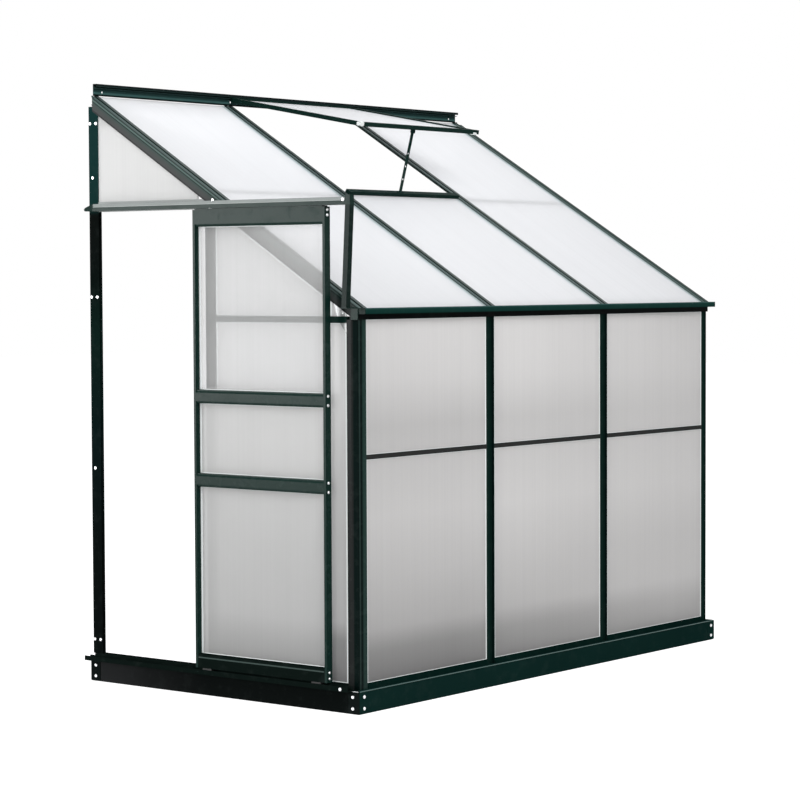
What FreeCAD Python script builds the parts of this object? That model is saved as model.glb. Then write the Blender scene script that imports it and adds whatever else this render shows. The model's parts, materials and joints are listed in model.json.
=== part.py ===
import FreeCAD, Part
import math
import os
import re
import Sketcher

# A lean-to greenhouse of three bays that stands against a house wall.
# +X runs along the wall from the door end to the far end, +Y points at the wall, +Z is up.
# The origin is on the ground, under the middle of the overall box.
# The roof vent and the sliding door are drawn open.

SIZES = {
    # Steel base frame
    "base_length": 2250,
    "base_depth": 1250,
    "base_height": 78,
    "base_width": 40,
    "base_wall": 2,
    "bracket_leg": 46,
    "bracket_height": 74,
    # How far the outermost pieces stand past the base on each side
    "door_side_reach": 40,
    "far_side_reach": 4,
    "gutter_reach": 16,
    "wall_side_reach": 8,
    # Place of the aluminium frame on the base
    "end_inset": 22,
    "front_inset": 18,
    "bay_count": 3,
    # Glazing bar section
    "bar_width": 46,
    "bar_depth": 32,
    "cap_wall": 2,
    "slot_gap": 6.5,
    "fin_reach": 20,
    "stem_width": 16,
    "groove_width": 10,
    "groove_depth": 4,
    "bar_wall": 3,
    "corner_box": 31,
    "post_nose": 5,
    "post_flat": 28,
    "skirt_depth": 42,
    # Panels of twin-wall sheet
    "panel_thickness": 6,
    "panel_play": 0.25,
    "panel_edge": 9.5,
    # Sills and rails
    "sill_height": 19,
    "sill_nose": 6,
    "sill_groove": 7,
    "strip_height": 16,
    "strip_middle": 853,
    "rail_height": 22,
    "eave_rail_foot": 1300,
    "lintel_foot": 1690,
    "lintel_height": 35,
    # Gusset plates at the eaves
    "gusset_foot_run": 42,
    "gusset_head_run": 62,
    "gusset_thickness": 2,
    "knee_run": 28,
    "knee_drop": 38,
    "head_gusset_foot": 1990,
    "head_gusset_run": 94,
    # Eave and gutter
    "eave_foot": 1311,
    "eave_height": 27,
    "gutter_floor": 1330,
    "gutter_lip": 1350,
    # Roof
    "ridge_height": 2150,
    "ridge_bar_height": 42,
    "ridge_reach": 18,
    "roof_pitch": 31.45,
    "roof_at_front": 1352.4,
    "rafter_overhang": 6,
    "rafter_depth": 14,
    "rafter_shoe": 75,
    "purlin_run": 762,
    "vent_sill_run": 777,
    "vent_sill_width": 20,
    "vent_sill_rise": 12.5,
    # End wall members, measured back from the front of the base
    "jamb_middle": 672,
    # Sliding door
    "door_front_edge": 113,
    "door_width": 594,
    "door_foot": 100,
    "door_head": 1686,
    "door_outer": 30,
    "door_thickness": 28,
    "stile_width": 10,
    "door_top_rail": 58,
    "door_bottom_rail": 49,
    "door_middle_rail": 47,
    "door_high_rail_foot": 1019,
    "door_low_rail_foot": 730,
    "door_slot": 20,
    "door_slot_depth": 6,
    "door_lip": 3,
    "door_lip_height": 4,
    "door_bevel": 6,
    "door_foot_bevel": 8,
    "head_gap": 0.6,
    # Slide rail, rollers and bottom track
    "slide_outer": 36,
    "slide_width": 30,
    "slide_foot": 1690,
    "slide_height": 26,
    "slide_wall": 2,
    "slide_slot": 8,
    "slide_front": 20,
    "strut_width": 22,
    "strut_depth": 20,
    "strut_head": 33,
    "strut_lean": 18,
    "slide_back": 1185,
    "spacer_length": 40,
    "slide_plug": 46,
    "plug_nose": 16,
    "plug_knob": 3.5,
    "roller_radius": 9,
    "roller_width": 6,
    "roller_bore": 2.55,
    "axle_radius": 2.5,
    "hanger_inset": 70,
    "hanger_foot_half": 7,
    "track_height": 17,
    # Roof vent, drawn open
    "hinge_setback": 10,
    "hinge_height": 2139.3,
    "hinge_bead": 3,
    "vent_opening": 21,
    "vent_length": 655,
    "vent_bar": 16,
    "vent_depth": 16,
    "vent_lap": 4,
    "stay_pivot_run": 619,
    "stay_pivot_drop": 24,
    "stay_pin": 3,
    "stay_width": 12,
    "stay_thickness": 3,
    "peg_setback": 545,
    "peg_height": 1775,
    # Fasteners and fixing holes
    "bolt_head": 6,
    "door_bolt_head": 5,
    "bolt_head_height": 4,
    "bolt_shank": 3,
    "bolt_hole": 3.4,
    "bolt_grip": 14,
    "wall_hole": 4,
    "wall_hole_spacing": 690,
    "post_top": 2067,
    "post_hole_first": 200,
    "post_hole_spacing": 500,
    "stake_hole": 5,
    "stake_spacing": 1800,
    "end_stake_spacing": 700,
}

# Lines of the object, as formulas in the sizes above
LINES = {
    "base_x": "(-(base_length + far_side_reach - door_side_reach) / 2)",
    "base_y": "(-(base_depth + wall_side_reach - gutter_reach) / 2)",
    "base_far": "(base_x + base_length)",
    "base_back": "(base_y + base_depth)",
    "frame_x": "(base_x + end_inset)",
    "frame_far": "(base_far - end_inset)",
    "frame_y": "(base_y + front_inset)",
    "wall_y": "(base_back + wall_side_reach)",
    "bay": "((base_length - 2 * end_inset - bar_width) / bay_count)",
    "first_stud": "(frame_x + bar_width / 2)",
    "jamb_y": "(base_y + jamb_middle)",
    "sill_top": "(base_height + sill_height)",
    "slot_end": "(cap_wall + slot_gap)",
    "fin_end": "(slot_end + cap_wall)",
    "eave_top": "(eave_foot + eave_height)",
    "door_y": "(base_y + door_front_edge)",
    "door_back": "(door_y + door_width)",
    "door_x": "(base_x - door_outer)",
    "door_in": "(door_x + door_thickness)",
    "slide_x": "(base_x - slide_outer)",
    "hinge_y": "(wall_y - hinge_setback)",
    "vent_angle": "(roof_pitch - vent_opening)",
    "pivot_y": "(hinge_y - stay_pivot_run * cos(vent_angle) + stay_pivot_drop * sin(vent_angle))",
    "pivot_z": "(hinge_height - stay_pivot_run * sin(vent_angle) - stay_pivot_drop * cos(vent_angle))",
    "peg_y": "(base_back - peg_setback)",
    "stay_reach": "sqrt((peg_y - pivot_y) ^ 2 + (peg_height - pivot_z) ^ 2)",
    "stay_tilt": "atan2(peg_height - pivot_z; peg_y - pivot_y)",
    "ridge_foot": "(ridge_height - ridge_bar_height)",
    "roof_run": "((wall_y - frame_y) / cos(roof_pitch))",
}

doc = FreeCAD.newDocument("LeanToGreenhouse")
sheet = doc.addObject("Spreadsheet::Sheet", "Sizes")
for row, (alias, number) in enumerate(SIZES.items(), start=1):
    sheet.set(f"A{row}", alias)
    sheet.set(f"B{row}", str(number))
    sheet.setAlias(f"B{row}", alias)
doc.recompute()

pieces = {}


def formula(text):
    """Spell a formula out in cells of the sheet."""
    def spell(match):
        word = match.group()
        if word in LINES:
            return formula(LINES[word])
        if word in SIZES:
            return "Sizes." + word
        return word
    return re.sub(r"[a-z][a-z_]*", spell, str(text))


def shifted(pairs, along="0", across="0"):
    """Move the corners of an outline by two formulas."""
    return [(f"({u}) + ({along})", f"({v}) + ({across})") for u, v in pairs]


def flipped(pairs, first=True):
    """Mirror the corners of an outline in its first or second coordinate."""
    if first:
        return [(f"-({u})", v) for u, v in pairs]
    return [(u, f"-({v})") for u, v in pairs]


def rectangle(low_u, high_u, low_v, high_v):
    return [(low_u, low_v), (high_u, low_v), (high_u, high_v), (low_u, high_v)]


def origin_plane(body, role):
    return next(item for item in body.Origin.OriginFeatures if item.Role == role)


def draw_loop(sketch, corners):
    """Closed outline whose corners are each held at two formulas from the origin."""
    count = len(corners)
    first = sketch.GeometryCount
    start = [FreeCAD.Vector(50 + 20 * math.cos(2 * math.pi * i / count),
                            50 + 20 * math.sin(2 * math.pi * i / count), 0) for i in range(count)]
    for i in range(count):
        sketch.addGeometry(Part.LineSegment(start[i], start[(i + 1) % count]))
    for i in range(count):
        sketch.addConstraint(Sketcher.Constraint("Coincident", first + i, 2, first + (i + 1) % count, 1))
    for i, (u, v) in enumerate(corners):
        for kind, text, value in (("DistanceX", u, start[i].x), ("DistanceY", v, start[i].y)):
            number = sketch.addConstraint(Sketcher.Constraint(kind, -1, 1, first + i, 1, value))
            sketch.setExpression(f"Constraints[{number}]", formula(text))


def place(item, x="0", y="0", z="0", tilt=None):
    """Bind the place of an object, and a turn about X where one is given."""
    if tilt is not None:
        item.Placement = FreeCAD.Placement(FreeCAD.Vector(), FreeCAD.Rotation(FreeCAD.Vector(1, 0, 0), 10))
        item.setExpression("Placement.Rotation.Angle", formula(tilt))
    for axis, text in (("x", x), ("y", y), ("z", z)):
        item.setExpression(f"Placement.Base.{axis}", formula(text))
    return item


def extrusion(name, role, outline, length, holes=()):
    """Body that is one outline on an origin plane, padded along the positive axis."""
    body = doc.addObject("PartDesign::Body", name)
    sketch = body.newObject("Sketcher::SketchObject", name + "_section")
    sketch.AttachmentSupport = (origin_plane(body, role), "")
    sketch.MapMode = "FlatFace"
    for loop in [outline, *holes]:
        draw_loop(sketch, loop)
    pad = body.newObject("PartDesign::Pad", name + "_pad")
    pad.Profile = sketch
    pad.setExpression("Length", formula(length))
    pad.Reversed = role == "XZ_Plane"
    return body


def bar_x(name, outline, start, length, holes=()):
    """Bar along X whose outline is given in Y and Z."""
    return place(extrusion(name, "YZ_Plane", outline, length, holes), x=start)


def bar_y(name, outline, start, length, holes=()):
    """Bar along Y whose outline is given in X and Z."""
    return place(extrusion(name, "XZ_Plane", outline, length, holes), y=start)


def bar_z(name, outline, start, length, holes=()):
    """Bar along Z whose outline is given in X and Y."""
    return place(extrusion(name, "XY_Plane", outline, length, holes), z=start)


def block(name, low, high):
    """Box between two corners."""
    item = doc.addObject("Part::Box", name)
    for side, a, b in zip(("Length", "Width", "Height"), low, high):
        item.setExpression(side, formula(f"({b}) - ({a})"))
    return place(item, *low)


def leaning_block(name, low, high, y, z, angle):
    """Box in axes turned about X: X itself, up the slope, and out of the slope."""
    item = doc.addObject("Part::Box", name)
    for side, a, b in zip(("Length", "Width", "Height"), low, high):
        item.setExpression(side, formula(f"({b}) - ({a})"))
    up = f"({low[1]})"
    out = f"({low[2]})"
    return place(item, low[0], f"{y} + {up} * cos({angle}) - {out} * sin({angle})",
                 f"{z} + {up} * sin({angle}) + {out} * cos({angle})", angle)


def roof_block(name, low, high):
    """Box on the roof's slope, measured from the front face of the frame."""
    return leaning_block(name, low, high, "frame_y", "roof_at_front", "roof_pitch")


def vent_block(name, low, high):
    """Box on the vent's slope, measured from the hinge line."""
    return leaning_block(name, low, high, "hinge_y", "hinge_height", "vent_angle")


def round_bar(name, radius, length, point, direction, end_radius=None):
    """Round bar or frustum from a point, along a direction."""
    if end_radius is None:
        item = doc.addObject("Part::Cylinder", name)
        item.setExpression("Radius", formula(radius))
    else:
        item = doc.addObject("Part::Cone", name)
        item.setExpression("Radius1", formula(radius))
        item.setExpression("Radius2", formula(end_radius))
    item.setExpression("Height", formula(length))
    turn = FreeCAD.Rotation(FreeCAD.Vector(0, 0, 1), FreeCAD.Vector(*direction))
    item.Placement = FreeCAD.Placement(FreeCAD.Vector(), turn)
    return place(item, *point)


def pin_x(name, radius, start, length, y, z):
    """Round pin along X."""
    return round_bar(name, radius, length, (start, y, z), (1, 0, 0))


def moved(point, direction, distance):
    """Point carried along a direction."""
    return [f"({at}) + ({step}) * ({distance})" for at, step in zip(point, direction)]


def cut(name, base, *tools):
    """Take the tools away from the base."""
    item = base
    for number, tool in enumerate(tools):
        rest = doc.addObject("Part::Cut", f"{name}_cut_{number}")
        rest.Base = item
        rest.Tool = tool
        item = rest
    return item


def fuse(name, *items):
    item = doc.addObject("Part::MultiFuse", name + "_joined")
    item.Shapes = list(items)
    item.Refine = True
    return item


def group(name, *items):
    """Alike pieces that share one node as separate solids."""
    item = doc.addObject("Part::Compound", name + "_group")
    item.Links = list(items)
    return item


def keep(name, item):
    pieces[name] = item


def bolt(name, point, toward, grip="bolt_grip", head="bolt_head"):
    """Bolt whose head stands on a face at the point, with its shank into the part."""
    away = [-step for step in toward]
    rim = "bolt_head_height * 0.6"
    return fuse(name, round_bar(name + "_head", head, rim, point, away),
                round_bar(name + "_crown", head, "bolt_head_height * 0.4", moved(point, away, rim), away,
                          f"{head} * 0.7"),
                round_bar(name + "_shank", "bolt_shank", grip, point, toward))


def drill(name, point, toward, radius, depth):
    """Round tool that cuts a hole."""
    return round_bar(name, radius, f"({depth}) + 1", moved(point, toward, "-1"), toward)


# Base: three rectangular steel tubes, mitred into each other at the front corners
def base_rails():
    """The house wall closes the fourth side, so no tube lies along it."""
    wall = "base_wall"
    width = "base_width"

    def tube(name, outline, bore):
        body = bar_z(name, outline, "0", "base_height")
        keep(name, cut(name, body, bar_z(name + "_bore", bore, wall, f"base_height - 2 * {wall}")))

    near = f"base_y + {wall}"
    left = f"base_x + {wall}"
    right = f"base_far - {wall}"
    tube("base_front_rail",
         [(left, near), (right, near), (f"{right} - {width}", f"{near} + {width}"),
          (f"{left} + {width}", f"{near} + {width}")],
         [(left, f"{near} + {wall}"), (right, f"{near} + {wall}"),
          (f"{right} - {width} + 2 * {wall}", f"{near} + {width} - {wall}"),
          (f"{left} + {width} - 2 * {wall}", f"{near} + {width} - {wall}")])
    end = [("0", "0"), (width, width), (width, f"base_depth - 2 * {wall}"), ("0", f"base_depth - 2 * {wall}")]
    end_bore = [(wall, "0"), (f"{width} - {wall}", f"{width} - 2 * {wall}"),
                (f"{width} - {wall}", f"base_depth - {wall}"), (wall, f"base_depth - {wall}")]
    tube("base_door_end_rail", shifted(end, left, near), shifted(end_bore, left, near))
    tube("base_far_end_rail", shifted(flipped(end), right, near), shifted(flipped(end_bore), right, near))


def base_brackets():
    """Angle plates that wrap the front corners and close the tubes at the wall."""
    plates = []
    for x, turn_x in (("base_x", 1), ("base_far", -1)):
        for y, turn_y in (("base_y", 1), ("base_back", -1)):
            corners = [("0", "0"), ("bracket_leg", "0"), ("bracket_leg", "base_wall"),
                       ("base_wall", "base_wall"), ("base_wall", "bracket_leg"), ("0", "bracket_leg")]
            if turn_x < 0:
                corners = flipped(corners)
            if turn_y < 0:
                corners = flipped(corners, first=False)
            name = f"base_corner_bracket_{len(plates)}"
            plates.append(bar_z(name, shifted(corners, x, y), "(base_height - bracket_height) / 2",
                                "bracket_height"))
    keep("base_corner_brackets", group("base_corner_brackets", *plates))


# Glazing bars: outer cap with a bolt groove, a slot for sheet on both sides, and a hollow stem
def bar_outline():
    half = "bar_width / 2"
    groove = "groove_width / 2"
    stem = "stem_width / 2"
    right = [(groove, "groove_depth"), (groove, "0"), (half, "0"), (half, "cap_wall"), (stem, "cap_wall"),
             (stem, "slot_end"), ("fin_reach", "slot_end"), ("fin_reach", "fin_end"), (stem, "fin_end"),
             (stem, "bar_depth")]
    left = [(f"-({u})", v) for u, v in reversed(right)]
    return right + left


def bar_hole():
    side = "(stem_width / 2 - bar_wall)"
    return rectangle(f"-{side}", side, "groove_depth + bar_wall", "bar_depth - bar_wall")


def corner_outline(front=True):
    """Corner post: a front one has a blunt nose and two slots for sheet, a wall one is square with one."""
    box = "corner_box"
    reach = "(fin_reach + bar_width / 2)"
    if front:
        corners = [("0", "post_flat"), ("post_nose", "post_nose"), ("post_flat", "0"), ("bar_width", "0"),
                   ("bar_width", "cap_wall"), (box, "cap_wall"), (box, "slot_end"), (reach, "slot_end"),
                   (reach, "fin_end"), (box, "fin_end")]
    else:
        corners = [("0", "0"), (box, "0")]
    corners += [(box, box), ("fin_end", box), ("fin_end", reach), ("slot_end", reach), ("slot_end", box),
                ("cap_wall", box), ("cap_wall", "bar_width"), ("0", "bar_width")]
    return corners


def corner_hole(front=True):
    low = "post_nose + bar_wall" if front else "bar_wall"
    high = "corner_box - bar_wall"
    return rectangle(low, high, low, high)


def turned(pairs):
    """Swap the two coordinates of an outline."""
    return [(v, u) for u, v in pairs]


def placed_corner(pairs, x, y, turn_x, turn_y):
    if turn_x < 0:
        pairs = flipped(pairs)
    if turn_y < 0:
        pairs = flipped(pairs, first=False)
    return shifted(pairs, x, y)


def stud_x(number):
    return f"(first_stud + {number} * bay)"


# Everything above this tool lies over the underside of the end rafters
def slope_tool(name):
    return roof_block(name, ("base_x - 10", "-100", "-skirt_depth"),
                      ("base_far + 10", "roof_run + 100", "900"))


def posts():
    ends = (("door_end", "frame_x", 1), ("far_end", "frame_far", -1))
    for end, face, turn in ends:
        name = f"front_post_{end}"
        keep(name, bar_z(name, placed_corner(corner_outline(), face, "frame_y", turn, 1), "base_height",
                         "eave_foot - base_height", [placed_corner(corner_hole(), face, "frame_y", turn, 1)]))
    for number, name in ((1, "front_stud_door_side"), (2, "front_stud_far_side")):
        keep(name, bar_z(name, shifted(bar_outline(), stud_x(number), "frame_y"), "base_height",
                         "eave_foot - base_height", [shifted(bar_hole(), stud_x(number), "frame_y")]))
    for end, face, turn in ends:
        name = f"wall_post_{end}"
        post = bar_z(name, placed_corner(corner_outline(False), face, "wall_y", turn, -1), "sill_top",
                     "post_top - sill_top", [placed_corner(corner_hole(False), face, "wall_y", turn, -1)])
        # Its heel stands up behind the end of the rafter
        heel = block(name + "_heel", ("base_x - 10", "wall_y - ridge_reach", "sill_top"),
                     ("base_far + 10", "wall_y + ridge_reach", "ridge_height"))
        keep(name, cut(name, post, cut(name + "_tool", slope_tool(name + "_slope"), heel)))
    for name, face, turn in (("door_jamb_post", "frame_x", 1), ("far_end_stud", "frame_far", -1)):
        outline = turned(bar_outline())
        hole = turned(bar_hole())
        if turn < 0:
            outline = flipped(outline)
            hole = flipped(hole)
        post = bar_z(name, shifted(outline, face, "jamb_y"), "sill_top", "ridge_height - sill_top",
                     [shifted(hole, face, "jamb_y")])
        keep(name, cut(name, post, slope_tool(name + "_slope")))


# Sills lie on the base and hold the lower edges of the sheets in a groove
def sill_outline():
    return [("-sill_nose", "0"), ("bar_depth", "0"), ("bar_depth", "sill_height"),
            ("slot_end", "sill_height"), ("slot_end", "sill_height - sill_groove"),
            ("cap_wall", "sill_height - sill_groove"), ("cap_wall", "sill_height"), ("0", "sill_height")]


def sills():
    front = shifted(sill_outline(), "frame_y", "base_height")
    parts = []
    for number in range(int(SIZES["bay_count"])):
        parts.append(bar_x(f"front_sill_{number}", front, f"{stud_x(number)} + bar_width / 2",
                           "bay - bar_width"))
    keep("front_sills", group("front_sills", *parts))
    for name, face, turn in (("door_end_sill", "frame_x", 1), ("far_end_sill", "frame_far", -1)):
        outline = sill_outline() if turn > 0 else flipped(sill_outline())
        keep(name, bar_y(name, shifted(outline, face, "base_height"), "frame_y + bar_width",
                         "wall_y - frame_y - bar_width - wall_side_reach"))


def middle_strips():
    """Strips that join the upper and lower front sheets edge to edge."""
    half = "strip_height / 2"
    web = "(cap_wall / 2)"
    skin = "(cap_wall - 0.5)"
    outer = ("(cap_wall - 1.4)", "cap_wall")
    inner = ("slot_end", f"slot_end + {skin}")
    outline = [(outer[0], f"-{half}"), (outer[1], f"-{half}"), (outer[1], f"-{web}"), (inner[0], f"-{web}"),
               (inner[0], f"-{half}"), (inner[1], f"-{half}"), (inner[1], half), (inner[0], half),
               (inner[0], web), (outer[1], web), (outer[1], half), (outer[0], half)]
    parts = []
    for number in range(int(SIZES["bay_count"])):
        parts.append(bar_x(f"front_strip_{number}", shifted(outline, "frame_y", "strip_middle"),
                           f"{stud_x(number)} + bar_width / 2", "bay - bar_width"))
    keep("front_middle_strips", group("front_middle_strips", *parts))


# End wall rails: boxes with a slot for sheet in the top, the foot, or both
def end_rail_outline(lower_slot, top="rail_height"):
    corners = [("0", "0")]
    if lower_slot:
        corners += [("cap_wall", "0"), ("cap_wall", "sill_groove"), ("slot_end", "sill_groove"),
                    ("slot_end", "0")]
    corners += [("bar_depth", "0"), ("bar_depth", top), ("slot_end", top),
                ("slot_end", f"{top} - sill_groove"), ("cap_wall", f"{top} - sill_groove"),
                ("cap_wall", top), ("0", top)]
    return corners


def end_rails():
    gap = "stem_width / 2"
    front_start = "frame_y + bar_width"
    front_length = "jamb_y - bar_width / 2 - frame_y - bar_width"
    back_start = "jamb_y + bar_width / 2"
    back_length = "wall_y - bar_width - jamb_y - bar_width / 2"
    level = "eave_rail_foot"
    keep("door_end_eave_rail", bar_y("door_end_eave_rail", shifted(end_rail_outline(True), "frame_x", level),
                                     front_start, front_length))
    lintel = bar_y("door_lintel", shifted(end_rail_outline(False, "lintel_height"), "frame_x", "lintel_foot"),
                   back_start, back_length)
    keep("door_lintel", cut("door_lintel", lintel, slope_tool("door_lintel_slope")))
    far = shifted(flipped(end_rail_outline(True)), "frame_far", level)
    keep("far_end_eave_rails", group("far_end_eave_rails",
                                     bar_y("far_eave_rail_front", far, front_start, front_length),
                                     bar_y("far_eave_rail_back", far, back_start, back_length)))


# Eave beam with the gutter in one section: the trough stands out in front of the beam
def eave():
    trough = "(front_inset + gutter_reach)"
    wall = "cap_wall"
    floor = "gutter_floor"
    outline = [(f"-{trough}", "gutter_lip"), (f"-{trough}", floor), ("0", floor), ("0", "eave_foot"),
               (wall, "eave_foot"), (wall, "eave_foot + 10"), ("slot_end", "eave_foot + 10"),
               ("slot_end", "eave_foot"), ("bar_depth", "eave_foot"), ("bar_depth", "eave_top"),
               ("0", "eave_top"), ("0", f"{floor} + {wall}"), (f"{wall} - {trough}", f"{floor} + {wall}"),
               (f"{wall} - {trough}", f"gutter_lip - {wall}"),
               (f"4 * {wall} - {trough}", f"gutter_lip - {wall}"), (f"4 * {wall} - {trough}", "gutter_lip")]
    hole = rectangle("slot_end + bar_wall", "bar_depth - bar_wall", "eave_foot + bar_wall",
                     "eave_top - bar_wall")
    keep("eave_gutter", bar_x("eave_gutter", shifted(outline, "frame_y"), f"frame_x + {wall}",
                              f"frame_far - frame_x - 2 * {wall}", [shifted(hole, "frame_y")]))
    cap = [(f"-{trough}", "gutter_lip"), (f"-{trough}", floor), ("0", floor), ("0", "eave_foot"),
           ("bar_depth", "eave_foot"), ("bar_depth", "eave_top"), ("-rafter_overhang", "eave_top"),
           ("-rafter_overhang", "gutter_lip")]
    caps = [bar_x(f"gutter_end_cap_{number}", shifted(cap, "frame_y"), start, wall)
            for number, start in enumerate(("frame_x", f"frame_far - {wall}"))]
    keep("gutter_end_caps", group("gutter_end_caps", *caps))


# Ridge bar: a channel screwed to the house wall, with a socket in which the vent's bead turns
def ridge():
    wall = "cap_wall"
    lip = f"ridge_reach - {wall}"
    shelf = "(hinge_height - hinge_bead - 0.3)"
    foot = "ridge_foot"
    across = [("0", foot), ("14", foot), ("14", f"{foot} + {wall}"), (wall, f"{foot} + {wall}"),
              (wall, f"{shelf} - {wall}"), ("hinge_setback + 2", f"{shelf} - {wall}"),
              ("hinge_setback + 2", shelf), (wall, shelf), (wall, f"ridge_height - {wall}"),
              (lip, f"ridge_height - {wall}"), (lip, "hinge_height + 1.3"),
              ("ridge_reach", "hinge_height + 1.3"), ("ridge_reach", "ridge_height"), ("0", "ridge_height")]
    outline = [(f"wall_y - ({u})", v) for u, v in across]
    bar = bar_x("ridge_bar", outline, "first_stud", "bay_count * bay")
    tools = []
    for number in range(4):
        x = f"first_stud + bay_count * bay / 2 + {number - 1.5} * wall_hole_spacing"
        tools.append(drill(f"ridge_hole_{number}", (x, "wall_y", "ridge_foot + 14"), (0, -1, 0),
                           "wall_hole", "4"))
    keep("ridge_bar", cut("ridge_bar", bar, *tools))


# Rafters: bars laid on the slope, plumb-cut at both ends and notched over the eave beam
def rafter(name, number, outline, holes, dressing):
    down = [(u, f"-({v})") for u, v in outline]
    holes_down = [[(u, f"-({v})") for u, v in hole] for hole in holes]
    body = extrusion(name, "XZ_Plane", down, "roof_run + 80", holes_down)
    place(body, stud_x(number), "frame_y - 40 * cos(roof_pitch)", "roof_at_front - 40 * sin(roof_pitch)",
          "roof_pitch")
    keep(name, cut(name, body, *dressing))


def rafters():
    wide = ("base_x - 10", "base_far + 10")
    foot = [
        block("rafter_foot_trim", (wide[0], "frame_y - 100", "1200"),
              (wide[1], "frame_y - rafter_overhang", "1500")),
        block("rafter_eave_notch", (wide[0], "frame_y - 60", "1200"),
              (wide[1], "frame_y + bar_depth", "eave_top")),
    ]
    head = [
        block("rafter_head_trim", (wide[0], "wall_y", "1900"), (wide[1], "wall_y + 100", "2250")),
        block("rafter_ridge_notch", (wide[0], "wall_y - ridge_reach", "ridge_foot"),
              (wide[1], "wall_y + 1", "2250")),
    ]
    # The skirt of an end rafter stops at the wall post, and its stem runs on over the post to the wall
    stem = "stem_width / 2"
    end_head = [
        block("rafter_post_notch", (wide[0], "wall_y - ridge_reach", "1900"),
              (wide[1], "wall_y + 1", "post_top")),
        block("rafter_near_cheek_trim", (wide[0], "wall_y - ridge_reach", "1900"),
              (f"{stud_x(0)} - {stem}", "wall_y + 1", "2250")),
        block("rafter_far_cheek_trim", (f"{stud_x(3)} + {stem}", "wall_y - ridge_reach", "1900"),
              (wide[1], "wall_y + 1", "2250")),
    ]
    # A middle rafter is slim and deepens to a shoe where it stands on the eave beam
    slim = roof_block("rafter_slim_trim", (wide[0], "rafter_shoe", "-bar_depth - 10"),
                      (wide[1], "roof_run + 60", "-rafter_depth"))
    side = "bar_width / 2"
    groove = "groove_width / 2"
    end_outline = [(f"-{groove}", "0"), (f"-{groove}", "groove_depth"), (groove, "groove_depth"),
                   (groove, "0"), (side, "0"), (side, "cap_wall"), ("8", "cap_wall"), ("8", "slot_end"),
                   ("fin_reach", "slot_end"), ("fin_reach", "fin_end"), ("8", "fin_end"), ("8", "bar_depth"),
                   (f"fin_end - {side}", "bar_depth"), (f"fin_end - {side}", "skirt_depth"),
                   (f"slot_end - {side}", "skirt_depth"), (f"slot_end - {side}", "bar_depth"),
                   (f"cap_wall - {side}", "bar_depth"), (f"cap_wall - {side}", "skirt_depth"),
                   (f"-{side}", "skirt_depth"), (f"-{side}", "0")]
    end_hole = rectangle(f"bar_wall - {side}", "8 - bar_wall", "groove_depth + bar_wall",
                         "bar_depth - bar_wall")
    rafter("rafter_door_end", 0, end_outline, [end_hole], [*foot, *head, *end_head])
    rafter("rafter_door_side", 1, bar_outline(), [], [*foot, *head, slim])
    rafter("rafter_far_side", 2, bar_outline(), [], [*foot, *head, slim])
    rafter("rafter_far_end", 3, flipped(end_outline), [flipped(end_hole)], [*foot, *head, *end_head])


def roof_bars():
    """Purlins under the outer roof sheets, and the raised sill that the vent closes on."""
    purlins = []
    for number in (0, 2):
        purlins.append(roof_block(f"roof_purlin_{number}",
                                  (f"{stud_x(number)} + fin_reach + 1", "purlin_run", "-slot_end - 14"),
                                  (f"{stud_x(number + 1)} - fin_reach - 1", "purlin_run + 20", "-slot_end")))
    keep("roof_purlins", group("roof_purlins", *purlins))
    width = "vent_sill_width"
    outline = [("0", "vent_sill_rise"), (width, "vent_sill_rise"), (width, "-20"), ("0", "-20"),
               ("0", "-slot_end"), ("10", "-slot_end"), ("10", "-cap_wall"), ("0", "-cap_wall")]
    bar = extrusion("vent_sill", "YZ_Plane", outline, "bay - bar_width")
    place(bar, f"{stud_x(1)} + bar_width / 2", "frame_y + vent_sill_run * cos(roof_pitch)",
          "roof_at_front + vent_sill_run * sin(roof_pitch)", "roof_pitch")
    ear = block("vent_sill_ear", (f"{stud_x(1.5)} - 10", "peg_y - 22", "peg_height - 8"),
                (f"{stud_x(1.5)} - 4", "peg_y + stay_pin", "peg_height + stay_pin"))
    peg = pin_x("vent_sill_peg", "stay_pin", f"{stud_x(1.5)} - 5", "12", "peg_y", "peg_height")
    keep("vent_sill", fuse("vent_sill", bar, ear, peg))


# Sheets
def front_panels():
    foot = "sill_top - sill_groove + 1"
    middle = "strip_middle"
    spans = (("lower", foot, f"{middle} - cap_wall / 2 - 0.5"),
             ("upper", f"{middle} + cap_wall / 2 + 0.5", "eave_foot + 9"))
    for label, low, high in spans:
        sheets = []
        for number in range(int(SIZES["bay_count"])):
            left = "31.5 - bar_width / 2" if number == 0 else "panel_edge"
            right = "31.5 - bar_width / 2" if number == 2 else "panel_edge"
            sheets.append(block(f"front_{label}_panel_{number}",
                                (f"{stud_x(number)} + {left}", "frame_y + cap_wall + panel_play", low),
                                (f"{stud_x(number + 1)} - ({right})",
                                 "frame_y + cap_wall + panel_play + panel_thickness", high)))
        name = f"front_{label}_panels"
        keep(name, group(name, *sheets))


def roof_panels():
    low_out = "-(cap_wall + panel_play + panel_thickness)"
    high_out = "-(cap_wall + panel_play)"
    top = "roof_run - 8"
    for number, label in enumerate(("door_bay", "middle_bay", "far_bay")):
        name = f"roof_panel_{label}"
        end = "vent_sill_run + 9" if number == 1 else top
        keep(name, roof_block(name, (f"{stud_x(number)} + panel_edge", "-9", low_out),
                              (f"{stud_x(number + 1)} - panel_edge", end, high_out)))


def end_sheet(name, outline, face, turn):
    """Upright sheet in an end wall, from its outline in Y and Z."""
    inset = "cap_wall + panel_play"
    start = f"{face} + {inset}" if turn > 0 else f"{face} - ({inset} + panel_thickness)"
    return bar_x(name, outline, start, "panel_thickness")


def under_roof(y):
    """Height at which a sheet's top edge runs inside the end rafter, at a place along Y."""
    return f"(roof_at_front + (({y}) - frame_y) * tan(roof_pitch) - (bar_depth + 2) / cos(roof_pitch))"


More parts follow.
